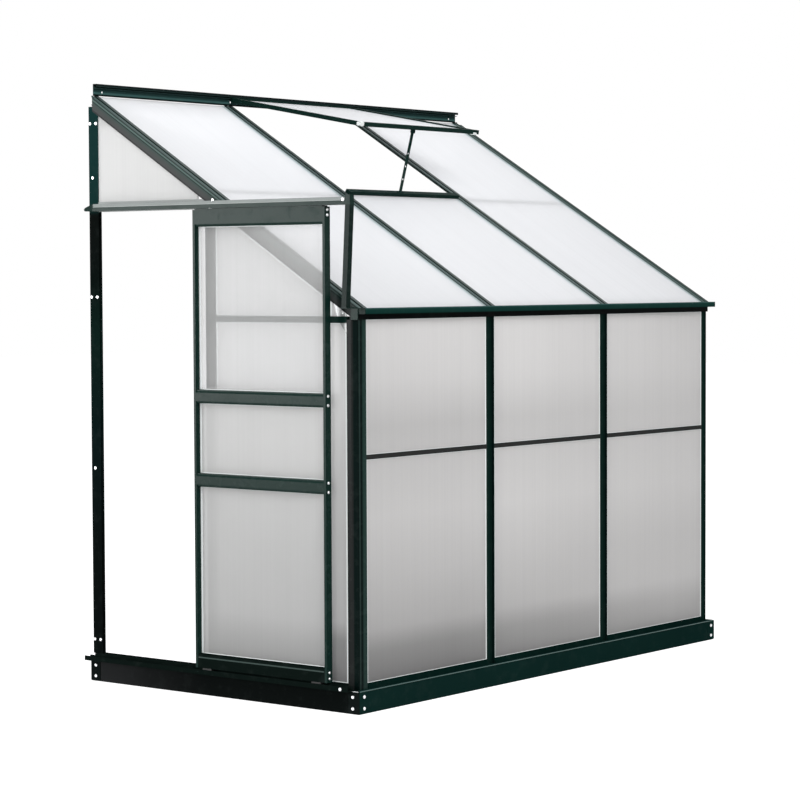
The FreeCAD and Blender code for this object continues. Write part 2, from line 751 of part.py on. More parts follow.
def end_panels():
    first = "frame_y + 31.5"
    jamb_front = "jamb_y - 8.5"
    jamb_back = "jamb_y + 8.5"
    gable_start = "jamb_y + 60"
    last = "wall_y - 31.5"
    foot = "sill_top - sill_groove + 1"
    rail_low = "eave_rail_foot + sill_groove - 1"
    rail_high = "eave_rail_foot + rail_height - sill_groove + 1"
    lintel = "lintel_foot + lintel_height - sill_groove + 1"
    # The front upper sheets start behind the gusset plates
    corner = ("frame_y + bar_width + gusset_foot_run", "frame_y + bar_width + gusset_head_run")

    def upper(low_y, high_y, low_z, lean_y=None):
        return [(low_y, low_z), (high_y, low_z), (high_y, under_roof(high_y)),
                (lean_y or low_y, under_roof(lean_y or low_y))]

    keep("door_end_panels", group(
        "door_end_panels",
        end_sheet("door_end_lower_panel", rectangle(first, jamb_front, foot, rail_low), "frame_x", 1),
        end_sheet("door_end_upper_panel", upper(corner[0], jamb_front, rail_high, corner[1]), "frame_x", 1),
        end_sheet("door_end_gable_panel", upper(gable_start, last, lintel), "frame_x", 1)))
    keep("far_end_panels", group(
        "far_end_panels",
        end_sheet("far_end_lower_panel_front", rectangle(first, jamb_front, foot, rail_low), "frame_far", -1),
        end_sheet("far_end_lower_panel_back", rectangle(jamb_back, last, foot, rail_low), "frame_far", -1),
        end_sheet("far_end_upper_panel_front", upper(corner[0], jamb_front, rail_high, corner[1]),
                  "frame_far", -1),
        end_sheet("far_end_upper_panel_back", upper(jamb_back, last, rail_high), "frame_far", -1)))


def eave_gussets():
    """Plates in both end walls: over and under the eave rail, and at the head of the wall post."""
    start = "(frame_y + bar_width)"
    foot = "eave_rail_foot + rail_height - sill_groove + 1"
    plates = []
    for end, face, turn in (("door_end", "frame_x", 1), ("far_end", "frame_far", -1)):
        low_y = f"{start} + gusset_foot_run - 1"
        high_y = f"{start} + gusset_head_run - 1"
        upper = [(f"{start} + 1", foot), (low_y, foot), (high_y, under_roof(high_y)),
                 (f"{start} + 1", under_roof(f"{start} + 1"))]
        inset = "(cap_wall + 1)"
        at = f"{face} + {inset}" if turn > 0 else f"{face} - {inset} - gusset_thickness"
        plates.append(bar_x(f"eave_gusset_{end}", upper, at, "gusset_thickness"))
        knee = [(start, "eave_rail_foot"), (start, "eave_rail_foot - knee_drop"),
                (f"{start} + knee_run", "eave_rail_foot")]
        at = f"{face} + 0.2" if turn > 0 else f"{face} - cap_wall"
        plates.append(bar_x(f"eave_knee_{end}", knee, at, "cap_wall - 0.2"))
        back = "wall_y - corner_box"
        tip = f"{back} - head_gusset_run"
        top = [(tip, "head_gusset_foot"), (back, "head_gusset_foot"), (back, under_roof(back)),
               (tip, under_roof(tip))]
        at = f"{face} + fin_end" if turn > 0 else f"{face} - fin_end - gusset_thickness"
        plates.append(bar_x(f"head_gusset_{end}", top, at, "gusset_thickness"))
    keep("eave_gussets", group("eave_gussets", *plates))


# Sliding door, hung outside the end wall: its panes stand deep in slots of the bars
def door_rail_outline(height, lower_slot, upper_slot):
    """Rail of the door in X and Z, bevelled towards each pane."""
    near = "door_slot"
    far = "(door_slot + panel_thickness + 2 * panel_play)"
    back = "door_thickness"
    deep = "door_slot_depth"
    corners = [("0", "0")]
    if lower_slot:
        corners = [("door_lip + 2", "0"), (near, "0"), (near, deep), (far, deep), (far, "0")]
    corners += [(back, "0"), (back, height)]
    if upper_slot:
        corners += [(far, height), (far, f"{height} - {deep}"), (near, f"{height} - {deep}"), (near, height),
                    ("door_lip", height), ("door_lip", f"{height} - door_lip_height"),
                    ("0", f"{height} - door_lip_height - door_bevel")]
    else:
        corners += [("0", height)]
    if lower_slot:
        corners += [("0", "door_foot_bevel")]
    return corners


def door():
    near = "door_slot"
    far = "(door_slot + panel_thickness + 2 * panel_play)"
    web = "(stile_width - door_slot_depth)"
    back = "door_thickness"
    stile = [("0", "0"), (back, "0"), (back, "stile_width"), (far, "stile_width"), (far, web), (near, web),
             (near, "stile_width"), ("0", "stile_width")]
    low = "door_foot"
    tall = "door_head - door_foot"
    keep("door_front_stile", bar_z("door_front_stile", shifted(stile, "door_x", "door_y"), low, tall))
    rear = shifted(flipped(stile, first=False), "door_x", "door_back")
    keep("door_rear_stile", bar_z("door_rear_stile", rear, low, tall))
    inner = "door_y + stile_width"
    length = "door_width - 2 * stile_width"

    def rail(name, foot, height, lower_slot, upper_slot):
        outline = shifted(door_rail_outline(height, lower_slot, upper_slot), "door_x", foot)
        return bar_y(name, outline, inner, length)

    head = rail("door_top_rail", "door_head - door_top_rail",
                "(door_top_rail + slide_foot - door_head - head_gap)", True, False)
    middle = "(slide_x + slide_width / 2)"
    half = "hanger_foot_half"
    pockets = []
    for number in (0, 1):
        y = roller_y(number)
        pockets.append(block(f"hanger_pocket_{number}", (f"{middle} - {half}", f"{y} - 25", "door_head"),
                             (f"{middle} + {half}", f"{y} + 25", "slide_foot + 1")))
    keep("door_top_rail", cut("door_top_rail", head, *pockets))
    keep("door_bottom_rail", rail("door_bottom_rail", low, "door_bottom_rail", False, True))
    rails = [rail(f"door_middle_rail_{number}", foot, "door_middle_rail", True, True)
             for number, foot in enumerate(("door_low_rail_foot", "door_high_rail_foot"))]
    keep("door_middle_rails", group("door_middle_rails", *rails))
    spans = (("door_lower_pane", f"{low} + door_bottom_rail", "door_low_rail_foot"),
             ("door_middle_pane", "door_low_rail_foot + door_middle_rail", "door_high_rail_foot"),
             ("door_upper_pane", "door_high_rail_foot + door_middle_rail", "door_head - door_top_rail"))
    hold = "(door_slot_depth - 1)"
    face = f"door_x + {near} + panel_play"
    outer = f"door_back - stile_width + {hold}"
    for name, foot, top in spans:
        keep(name, block(name, (face, f"{inner} - {hold}", f"{foot} - {hold}"),
                         (f"{face} + panel_thickness", outer, f"{top} + {hold}")))


def roller_y(number):
    return "door_y + hanger_inset" if number == 0 else "door_back - hanger_inset"


def door_hangers():
    """Hangers on the door's head: a foot, a stem through the rail's slot, and an axle for two wheels."""
    middle = "(slide_x + slide_width / 2)"
    axle_z = "(slide_foot + slide_wall + 0.3 + roller_radius)"
    hangers = []
    for number, label in enumerate(("front", "rear")):
        y = roller_y(number)
        foot = block(f"hanger_foot_{label}", (f"{middle} - hanger_foot_half", f"{y} - 25", "door_head"),
                     (f"{middle} + hanger_foot_half", f"{y} + 25", "door_head + 3"))
        stem = block(f"hanger_stem_{label}", (f"{middle} - 1.5", f"{y} - 12", "door_head + 2"),
                     (f"{middle} + 1.5", f"{y} + 12", f"{axle_z} + 6"))
        axle = pin_x(f"hanger_axle_{label}", "axle_radius", f"{middle} - 11.5", "23", y, axle_z)
        hangers.append(fuse(f"door_hanger_{label}", foot, stem, axle))
        wheels = []
        for side, start in (("outer", f"{middle} - 11"), ("inner", f"{middle} + 11 - roller_width")):
            wheel = pin_x(f"wheel_{label}_{side}", "roller_radius", start, "roller_width", y, axle_z)
            bore = pin_x(f"wheel_bore_{label}_{side}", "roller_bore", f"{start} - 1", "roller_width + 2",
                         y, axle_z)
            wheels.append(cut(f"roller_{label}_{side}", wheel, bore))
        keep(f"door_roller_{label}", group(f"door_roller_{label}", *wheels))
    keep("door_hangers", group("door_hangers", *hangers))


def door_guides():
    """Blocks under the door that run in the bottom track."""
    blocks = []
    for number, y in enumerate(("door_y + 30", "door_back - 70")):
        blocks.append(block(f"door_guide_{number}", ("door_x + 2", y, "base_height + 6"),
                            ("door_x + 16", f"{y} + 40", "door_foot")))
    keep("door_guides", group("door_guides", *blocks))


# Slide rail over the door: a channel open along its foot, and the pieces that carry it
def slide_rail():
    wall = "slide_wall"
    slot = "(slide_width - slide_slot) / 2"
    corners = [("0", "0"), (slot, "0"), (slot, wall), (wall, wall), (wall, f"slide_height - {wall}"),
               (f"slide_width - {wall}", f"slide_height - {wall}"), (f"slide_width - {wall}", wall),
               (f"slide_width - {slot}", wall), (f"slide_width - {slot}", "0"), ("slide_width", "0"),
               ("slide_width", "slide_height"), ("0", "slide_height")]
    keep("door_slide_rail", bar_y("door_slide_rail", shifted(corners, "slide_x", "slide_foot"),
                                  "base_y + slide_front", "slide_back - slide_front"))
    wide = "strut_width"
    deep = "strut_depth"
    channel = [("0", "0"), (wide, "0"), (wide, wall), (wall, wall), (wall, f"{deep} - {wall}"),
               (wide, f"{deep} - {wall}"), (wide, deep), ("0", deep)]
    foot_y = f"base_y + slide_front - {deep} + strut_lean"
    strut = bar_z("door_rail_strut", shifted(channel, "slide_x", foot_y),
                  "gutter_lip + 2", "slide_foot - gutter_lip - 2")
    height = SIZES["slide_foot"] - SIZES["gutter_lip"] - 2
    lean = strut.Group[-1]
    lean.UseCustomVector = True
    lean.AlongSketchNormal = True
    lean.Direction = FreeCAD.Vector(0, -SIZES["strut_lean"], height)
    keep("door_rail_strut", strut)
    spacers = [
        block("slide_spacer_rear", ("slide_x + slide_width", "base_y + slide_back - spacer_length - 4",
                                    "slide_foot + 2"),
              ("frame_x", "base_y + slide_back - 4", "slide_foot + slide_height - 2")),
        block("slide_spacer_middle", ("slide_x + slide_width", "jamb_y - 12", "slide_foot + 2"),
              ("frame_x", "jamb_y + 12", "slide_foot + slide_height - 2")),
    ]
    # Solid head of the strut: it closes the front end of the rail
    plate = block("strut_head", ("slide_x", f"base_y + slide_front - {deep}", "slide_foot"),
                  ("slide_x + strut_width", "base_y + slide_front", "slide_foot + strut_head"))
    # Tapered plug with a small knob in the rear end of the rail
    inset = "(slide_width - plug_nose) / 2"
    rear = "base_y + slide_back"
    plug = doc.addObject("Part::Wedge", "slide_plug")
    for word, text in (("Xmin", "0"), ("Ymin", "0"), ("Zmin", "0"), ("Xmax", "slide_width"),
                       ("Ymax", "slide_plug"), ("Zmax", "slide_height"), ("X2min", inset),
                       ("X2max", f"{inset} + plug_nose"), ("Z2min", "1"), ("Z2max", "plug_nose - 3")):
        plug.setExpression(word, formula(text))
    place(plug, "slide_x", rear, "slide_foot")
    knob = bar_y("slide_plug_knob", shifted(rectangle("-plug_knob", "plug_knob", "-plug_knob", "plug_knob"),
                                            "slide_x + slide_width / 2", "slide_foot + plug_nose / 2 - 1"),
                 f"{rear} + slide_plug", "8")
    plug = fuse("slide_rail_plug", plug, knob)
    # The strut stands on an angle whose upright leg is bolted to the gutter's end cap
    foot = [("slide_x", "gutter_lip - 1"), ("frame_x", "gutter_lip - 1"), ("frame_x", "gutter_lip + 2"),
            ("slide_x", "gutter_lip + 2")]
    leg = [("frame_x - 3", "eave_foot"), ("frame_x", "eave_foot"), ("frame_x", "gutter_lip + 2"),
           ("frame_x - 3", "gutter_lip + 2")]
    arm = fuse("strut_foot", bar_y("strut_foot_arm", foot, f"{foot_y} - 4", "28"),
               bar_y("strut_foot_leg", leg, f"{foot_y} - 4", "28"))
    keep("door_rail_brackets", group("door_rail_brackets", *spacers, plate, arm, plug))


def bottom_track():
    """Channel beside the base in which the door's guides run, with a flange on the base."""
    wall = "slide_wall"
    rim = "track_height"
    outline = [("0", "0"), ("slide_outer + 14", "0"), ("slide_outer + 14", wall), (f"slide_width", wall),
               ("slide_width", rim), (f"slide_width - {wall}", rim), (f"slide_width - {wall}", wall),
               (wall, wall), (wall, rim), ("0", rim)]
    keep("door_bottom_track", bar_y("door_bottom_track", shifted(outline, "slide_x", "base_height"),
                                    "base_y + 20", "1226"))


# Roof vent
def vent():
    left = f"{stud_x(1)} + vent_lap"
    right = f"{stud_x(2)} - vent_lap"
    bar = "vent_bar"
    depth = "vent_depth"
    head = "-8"
    foot = "-vent_length"
    sides = [vent_block("vent_side_door", (left, f"{foot} + {bar}", f"-{depth}"),
                        (f"{left} + {bar}", f"{head} - {bar}", "0")),
             vent_block("vent_side_far", (f"{right} - {bar}", f"{foot} + {bar}", f"-{depth}"),
                        (right, f"{head} - {bar}", "0"))]
    keep("vent_side_bars", group("vent_side_bars", *sides))
    keep("vent_bottom_bar", vent_block("vent_bottom_bar", (f"{left} - 6", foot, f"-{depth}"),
                                       (f"{right} + 14", f"{foot} + {bar}", "0")))
    head_bar = vent_block("vent_head_bar", (left, f"{head} - {bar}", f"-{depth}"), (right, head, "0.8"))
    neck = vent_block("vent_neck", (left, head, "-0.8"), (right, "0", "0.8"))
    bead = pin_x("vent_bead", "hinge_bead", left, f"({right}) - ({left})", "hinge_y", "hinge_height")
    keep("vent_hinge_bar", fuse("vent_hinge_bar", head_bar, neck, bead))
    keep("vent_pane", vent_block("vent_pane", (f"{left} + {bar}", f"{foot} + {bar}", "-11"),
                                 (f"{right} - {bar}", f"{head} - {bar}", "-5")))
    middle = stud_x(1.5)
    cheek = vent_block("stay_cheek", (f"{middle} - 2.5", "-stay_pivot_run - 14", "-stay_pivot_drop - 7"),
                       (f"{middle} - 0.5", "-stay_pivot_run + 8", f"-{depth}"))
    base = vent_block("stay_base", (f"{middle} - 30", f"{foot} + {bar}", f"-{depth}"),
                      (f"{middle} + 30", "-stay_pivot_run + 8", "-11"))
    pin = pin_x("stay_pivot_pin", "axle_radius", f"{middle} - 2", "8", "pivot_y", "pivot_z")
    keep("vent_stay_bracket", fuse("vent_stay_bracket", cheek, base, pin))


def vent_stay():
    """Flat arm from the vent to the peg on the sill: round at its pivot, with a notch over the peg."""
    def on_arm(run, drop="0"):
        """Point at a run along the arm from its pivot and a drop across it."""
        return (f"pivot_y + ({run}) * cos(stay_tilt) + ({drop}) * sin(stay_tilt)",
                f"pivot_z + ({run}) * sin(stay_tilt) - ({drop}) * cos(stay_tilt)")

    start = stud_x(1.5)
    half = "stay_width / 2"
    play = "(stay_pin + 1)"
    arm = leaning_block("stay_blade", (start, "0", f"-{half}"),
                        (f"{start} + stay_thickness", f"stay_reach + {half}", half),
                        "pivot_y", "pivot_z", "stay_tilt")
    eye = pin_x("stay_eye", half, start, "stay_thickness", "pivot_y", "pivot_z")
    tools = [pin_x("stay_bore", "roller_bore", f"{start} - 1", "stay_thickness + 2", "pivot_y", "pivot_z"),
             pin_x("stay_seat", play, f"{start} - 1", "stay_thickness + 2", "peg_y", "peg_height"),
             leaning_block("stay_mouth", (f"{start} - 1", f"stay_reach - {play}", f"-{half} - 2"),
                           (f"{start} + stay_thickness + 1", f"stay_reach + {play}", "0"),
                           "pivot_y", "pivot_z", "stay_tilt")]
    for number in range(1, 4):
        tools.append(pin_x(f"stay_hole_{number}", "stay_pin + 0.5", f"{start} - 1", "stay_thickness + 2",
                           *on_arm(f"stay_reach - {number} * 50")))
    keep("vent_stay_arm", cut("vent_stay_arm", fuse("vent_stay_arm", arm, eye), *tools))


# Bolts and the holes for them
def frame_bolt_places():
    """Point on a face, direction into the part, and length of shank of each frame bolt."""
    ends_x = (("base_x", 1), ("base_far", -1))
    ends_y = (("base_y", 1), ("base_back", -1))
    places = []
    for level in ("19", "58"):
        for x, toward in ends_x:
            for y, turn in ends_y:
                places.append(((x, f"{y} + {turn * 26}", level), (toward, 0, 0), "bolt_grip"))
            places.append(((f"{x} + {toward * 26}", "base_y", level), (0, 1, 0), "bolt_grip"))
    for x, toward in (("frame_x", 1), ("frame_far", -1)):
        for level in ("148", "1385", "2006"):
            places.append(((x, "wall_y - 9", level), (toward, 0, 0), "bolt_grip"))
            places.append(((x, "wall_y - 38", level), (toward, 0, 0), "cap_wall - 0.2"))
        for level in ("769", "1812"):
            places.append(((x, "wall_y - 20", level), (toward, 0, 0), "bolt_grip"))
        plate = f"{x} + ({toward}) * (cap_wall + 1)"
        places.append(((plate, "frame_y + bar_width + 20", "eave_rail_foot + 35"), (toward, 0, 0),
                       "gusset_thickness"))
    places.append((("frame_x", "jamb_y - 14", "lintel_foot + 30"), (1, 0, 0), "cap_wall - 0.2"))
    channel = "slide_wall - 0.2"
    places.append((("slide_x", "base_y + slide_front + 8", "slide_foot + 17"), (1, 0, 0), channel))
    places.append((("slide_x", "base_y + 51", "base_height + track_height / 2"), (1, 0, 0), channel))
    return places


def door_bolt_places():
    levels = ("door_foot + 13", "door_foot + 33", "door_low_rail_foot + 7", "door_low_rail_foot + 38",
              "door_high_rail_foot + 7", "door_high_rail_foot + 38", "door_head - 28", "door_head - 10")
    return [(("door_x + door_slot / 2 + 2", "door_y", level), (0, 1, 0), "bolt_grip") for level in levels]


def drilled(name, tools):
    holes = doc.addObject("Part::Compound", name + "_holes")
    holes.Links = tools
    return holes


def fixings():
    rows = (("frame", frame_bolt_places(), ("base_front_rail", "base_door_end_rail", "base_far_end_rail",
                                            "base_corner_brackets", "wall_post_door_end", "wall_post_far_end",
                                            "rafter_door_end", "door_slide_rail", "door_bottom_track",
                                            "eave_gussets")),
            ("door", door_bolt_places(), ("door_front_stile", "door_top_rail", "door_bottom_rail",
                                          "door_middle_rails")))
    for label, places, hosts in rows:
        head = "door_bolt_head" if label == "door" else "bolt_head"
        bolts = [bolt(f"{label}_bolt_{number}", point, toward, grip, head)
                 for number, (point, toward, grip) in enumerate(places)]
        keep(f"{label}_bolts", group(f"{label}_bolts", *bolts))
        tools = [drill(f"{label}_hole_{number}", point, toward, "bolt_hole", f"{grip} + 0.2")
                 for number, (point, toward, grip) in enumerate(places)]
        holes = drilled(label, tools)
        for name in hosts:
            keep(name, cut(name + "_drilled", pieces[name], holes))


def fixing_holes():
    """Open holes where the greenhouse is screwed to the wall and to stakes in the ground."""
    for name, face, turn in (("wall_post_door_end", "frame_x", 1), ("wall_post_far_end", "frame_far", -1)):
        tools = [drill(f"{name}_wall_hole_{number}",
                       (f"{face} + {turn} * corner_box / 2", "wall_y",
                        f"post_hole_first + {number} * post_hole_spacing"),
                       (0, -1, 0), "wall_hole", "corner_box + 1") for number in range(4)]
        keep(name, cut(name + "_holed", pieces[name], *tools))
    level = "base_height / 2"
    inner = "(base_wall + base_width)"
    rows = [("base_front_rail", [(f"base_x + base_length / 2 + ({side}) * stake_spacing / 2",
                                  f"base_y + {inner}", level) for side in (-1, 1)], (0, -1, 0))]
    for name, x, turn in (("base_door_end_rail", f"base_x + {inner}", -1),
                          ("base_far_end_rail", f"base_far - {inner}", 1)):
        rows.append((name, [(x, f"base_y + base_depth / 2 + ({side}) * end_stake_spacing / 2", level)
                            for side in (-1, 1)], (turn, 0, 0)))
    for name, points, toward in rows:
        tools = [drill(f"{name}_stake_hole_{number}", point, toward, "stake_hole", "base_wall + 1")
                 for number, point in enumerate(points)]
        keep(name, cut(name + "_holed", pieces[name], *tools))


base_rails()
base_brackets()
posts()
sills()
middle_strips()
end_rails()
eave()
ridge()
rafters()
roof_bars()
front_panels()
roof_panels()
end_panels()
eave_gussets()
door()
door_hangers()
door_guides()
slide_rail()
bottom_track()
vent()
vent_stay()
fixings()
fixing_holes()
doc.recompute()

for name, item in pieces.items():
    item.Label = name
for item in doc.Objects:
    if "Invalid" in item.State or "Error" in item.State:
        raise RuntimeError(f"{item.Name} failed: {item.State}")
for name, item in pieces.items():
    if item.Shape.isNull() or not item.Shape.isValid() or not item.Shape.Solids:
        raise RuntimeError(f"{name} has no valid solid")

os.makedirs("parts", exist_ok=True)
for name, item in pieces.items():
    item.Shape.exportStep(f"parts/{name}.step")
print(len(pieces), "nodes,", sum(len(item.Shape.Solids) for item in pieces.values()), "solids")
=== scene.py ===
import bpy
import json
import math
import numpy as np
from functools import cached_property
from mathutils import Matrix, Vector


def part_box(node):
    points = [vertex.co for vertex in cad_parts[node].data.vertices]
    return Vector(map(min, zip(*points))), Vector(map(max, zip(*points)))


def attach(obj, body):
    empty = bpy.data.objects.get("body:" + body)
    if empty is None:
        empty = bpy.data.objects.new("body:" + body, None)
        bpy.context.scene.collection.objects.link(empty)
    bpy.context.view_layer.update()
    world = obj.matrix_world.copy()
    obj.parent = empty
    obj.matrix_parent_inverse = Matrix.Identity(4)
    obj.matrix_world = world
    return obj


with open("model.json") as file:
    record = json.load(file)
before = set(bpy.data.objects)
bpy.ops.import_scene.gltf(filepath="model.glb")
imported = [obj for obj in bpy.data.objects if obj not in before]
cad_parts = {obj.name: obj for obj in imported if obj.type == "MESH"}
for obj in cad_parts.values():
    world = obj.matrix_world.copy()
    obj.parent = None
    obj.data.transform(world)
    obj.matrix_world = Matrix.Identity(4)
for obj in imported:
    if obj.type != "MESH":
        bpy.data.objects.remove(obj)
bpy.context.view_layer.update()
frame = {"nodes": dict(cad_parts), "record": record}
nodes = frame["nodes"]


# Places on the frame in millimetres

def reach(name, letter):
    """Lowest and highest place of one of the frame's nodes along an axis."""
    axis = "XYZ".index(letter)
    return [round(float(corner[axis]) / MM, 2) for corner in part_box(name)]


MM = 0.001
UP = np.array([0.0, 0.0, 1.0])
FIRST_BAR_X = sum(reach("rafter_door_end", "X")) / 2
BAY_WIDTH = sum(reach("rafter_door_side", "X")) / 2 - FIRST_BAR_X

# The roof's face rises at its pitch from a line over the front of the posts
PITCH = math.radians(31.45)
VENT_OPENING = math.radians(21.0)
POST_FACE_Y = reach("front_post_door_end", "Y")[0]
ROOF_Z = 1352.4
SKIRT_DEPTH = 42.0


# Colours

def stripes(*rows):
    """Stops of colour: a row is a place, or a band from one place to another, and ends with its colour."""
    return [(place, row[-1]) for row in rows for place in row[:-1]]


DARK_GREEN = (0.0050, 0.0210, 0.0165)
SHADED_GREEN = (0.0034, 0.0150, 0.0120)
BLACK_GREEN = (0.0012, 0.0050, 0.0045)
STUD_GREEN = (0.0045, 0.0160, 0.0130)
CORNER_SHADE_BLACK = (0.0060, 0.0072, 0.0072)
NEAR_BLACK = (0.0032, 0.0044, 0.0042)
HIGHLIGHT_TEAL = (0.072, 0.108, 0.103)
DUST = (0.20, 0.24, 0.23)
DUST_SHARE = 0.03

# Shares of a sheet's colour at heights in millimetres: painted shade, darker toward the foot, and in places
# under the rails and near the ridge
TONES_TOP = 2200
WALL_TONES = ((100, 0.36), (200, 0.48), (270, 0.68), (450, 0.79), (650, 0.87), (800, 0.84), (950, 0.79),
              (1100, 0.91), (1300, 0.98))
FAR_WALL_TONES = ((100, 0.60), (200, 0.70), (270, 0.80), (450, 0.80), (650, 0.86), (800, 0.84), (950, 0.82),
                  (1100, 0.87), (1300, 0.89))
END_TONES = ((100, 0.42), (240, 0.50), (300, 0.75), (600, 0.79), (850, 0.88), (1050, 0.99), (1600, 0.96),
             (1800, 0.90))
FAR_END_TONES = ((100, 0.60), (400, 0.84), (1000, 0.94), (1600, 0.97), (1800, 0.92))
DOOR_TONES = ((140, 0.60), (300, 0.76), (550, 0.80), (730, 0.84), (800, 0.86), (1020, 0.88), (1070, 0.97),
              (1300, 0.97), (1620, 0.98))
EVEN_TONES = ((1300, 0.97), (2040, 1.0), (2100, 0.93))

# Where a sheet changes over: from the near tones to the far ones, and from the milky panes to the clear one
FAR_TONES_X = (-550, 850)
CLEAR_PANE_Z = (1030, 1080)
FLUTE = 6

# Bands of coat at places in millimetres, across a bar from its middle: painted highlights and sheen in the
# pale and teal lines, painted shade in the dark lines of grooves and shaded sides
RAFTER_BANDS = stripes((-25, -19, (0.020, 0.038, 0.036)), (-17, -6, HIGHLIGHT_TEAL), (-4, 4, BLACK_GREEN),
                       (6, 12, (0.045, 0.060, 0.058)), (14, 19, (0.095, 0.118, 0.116)),
                       (21, 25, (0.020, 0.024, 0.024)))
FAR_RAFTER_BANDS = stripes((-25, (0.036, 0.066, 0.060)), (6, (0.030, 0.060, 0.054)),
                           (9, 14, (0.014, 0.030, 0.027)), (17, 25, BLACK_GREEN))
STUD_BANDS = stripes((-25, (0.030, 0.045, 0.040)), (-21, (0.020, 0.035, 0.030)), (-19, 5, STUD_GREEN),
                     (7, 19, BLACK_GREEN), (21, 25, STUD_GREEN))
POST_BANDS = stripes((-25, -22, (0.015, 0.016, 0.016)), (-21, -13, BLACK_GREEN),
                     (-12, -7, (0.016, 0.030, 0.027)), (-6, 0, BLACK_GREEN), (2, (0.008, 0.022, 0.018)),
                     (6, (0.014, 0.034, 0.029)), (25, (0.020, 0.042, 0.037)))

# Bands of a rafter's side at depths under the roof's face: painted sheen in the grey, painted highlight in
# the teal line and painted shade in the dark lines; where the side begins, and where it darkens toward the
# eave in painted shade
SKIRT_BANDS = stripes((-45, -37, (0.020, 0.021, 0.022)), (-35, (0.045, 0.047, 0.048)),
                      (-20, (0.040, 0.050, 0.047)), (-13, (0.026, 0.050, 0.045)), (-12, -10, BLACK_GREEN),
                      (-9, -4, (0.066, 0.110, 0.098)), (-3, 0, BLACK_GREEN))
SIDE_DEPTH = 1.5
EAVE_SHADE_Y = (-600, -200)

# Bands at heights: painted shadow under the gutter's trough, painted highlights along the gutter's top and
# the ridge, and painted shade on the wall posts below the slide rail
GUTTER_BANDS = stripes((1300, 1329, (0.0025, 0.0028, 0.0030)), (1331, (0.0035, 0.0260, 0.0215)),
                       (1345, (0.0060, 0.0340, 0.0280)), (1348, 1352, (0.0400, 0.0900, 0.0850)))
RIDGE_BANDS = stripes((2106, 2113, BLACK_GREEN), (2115, 2120, (0.050, 0.115, 0.110)),
                      (2123, (0.016, 0.045, 0.043)), (2141, (0.020, 0.040, 0.038)),
                      (2143, 2152, (0.007, 0.012, 0.012)))
WALL_POST_BANDS = stripes((90, 500, NEAR_BLACK), (900, (0.0033, 0.0080, 0.0082)),
                          (1250, (0.0040, 0.0120, 0.0095)), (1450, (0.0030, 0.0048, 0.0044)),
                          (1680, (0.0048, 0.0056, 0.0052)), (1700, (0.0068, 0.0270, 0.0250)),
                          (2070, (0.0085, 0.0300, 0.0290)))

# Painted shade: the end of the base near black and darker toward the front, and the end legs of its corner
# brackets near black beside their green front legs. Bands along the end of the base, and between the two
# legs of its corner brackets
BASE_END_BANDS = stripes((-630, (0.0046, 0.0060, 0.0058)), (60, (0.0050, 0.0064, 0.0062)),
                         (200, (0.0075, 0.0085, 0.0086)), (350, (0.0115, 0.0125, 0.0128)),
                         (480, (0.0180, 0.0190, 0.0196)), (630, (0.0215, 0.0225, 0.0230)))
CORNER_BANDS = stripes((-1107, -1104.9, CORNER_SHADE_BLACK), (-1104.4, -1103, (0.0055, 0.0220, 0.0190)))

# Tint of a roof sheet beside the bars: darker on the door side of each bar, and a little darker on its far
# side
BAR_SIDE_TINT = stripes((-60, (1, 1, 1)), (-44, (0.97, 0.99, 1.0)), (-38, (0.72, 0.79, 0.79)),
                    (-24, (0.55, 0.64, 0.64)), (24, (0.90, 0.94, 0.94)), (32, 60, (1, 1, 1)))


# Materials

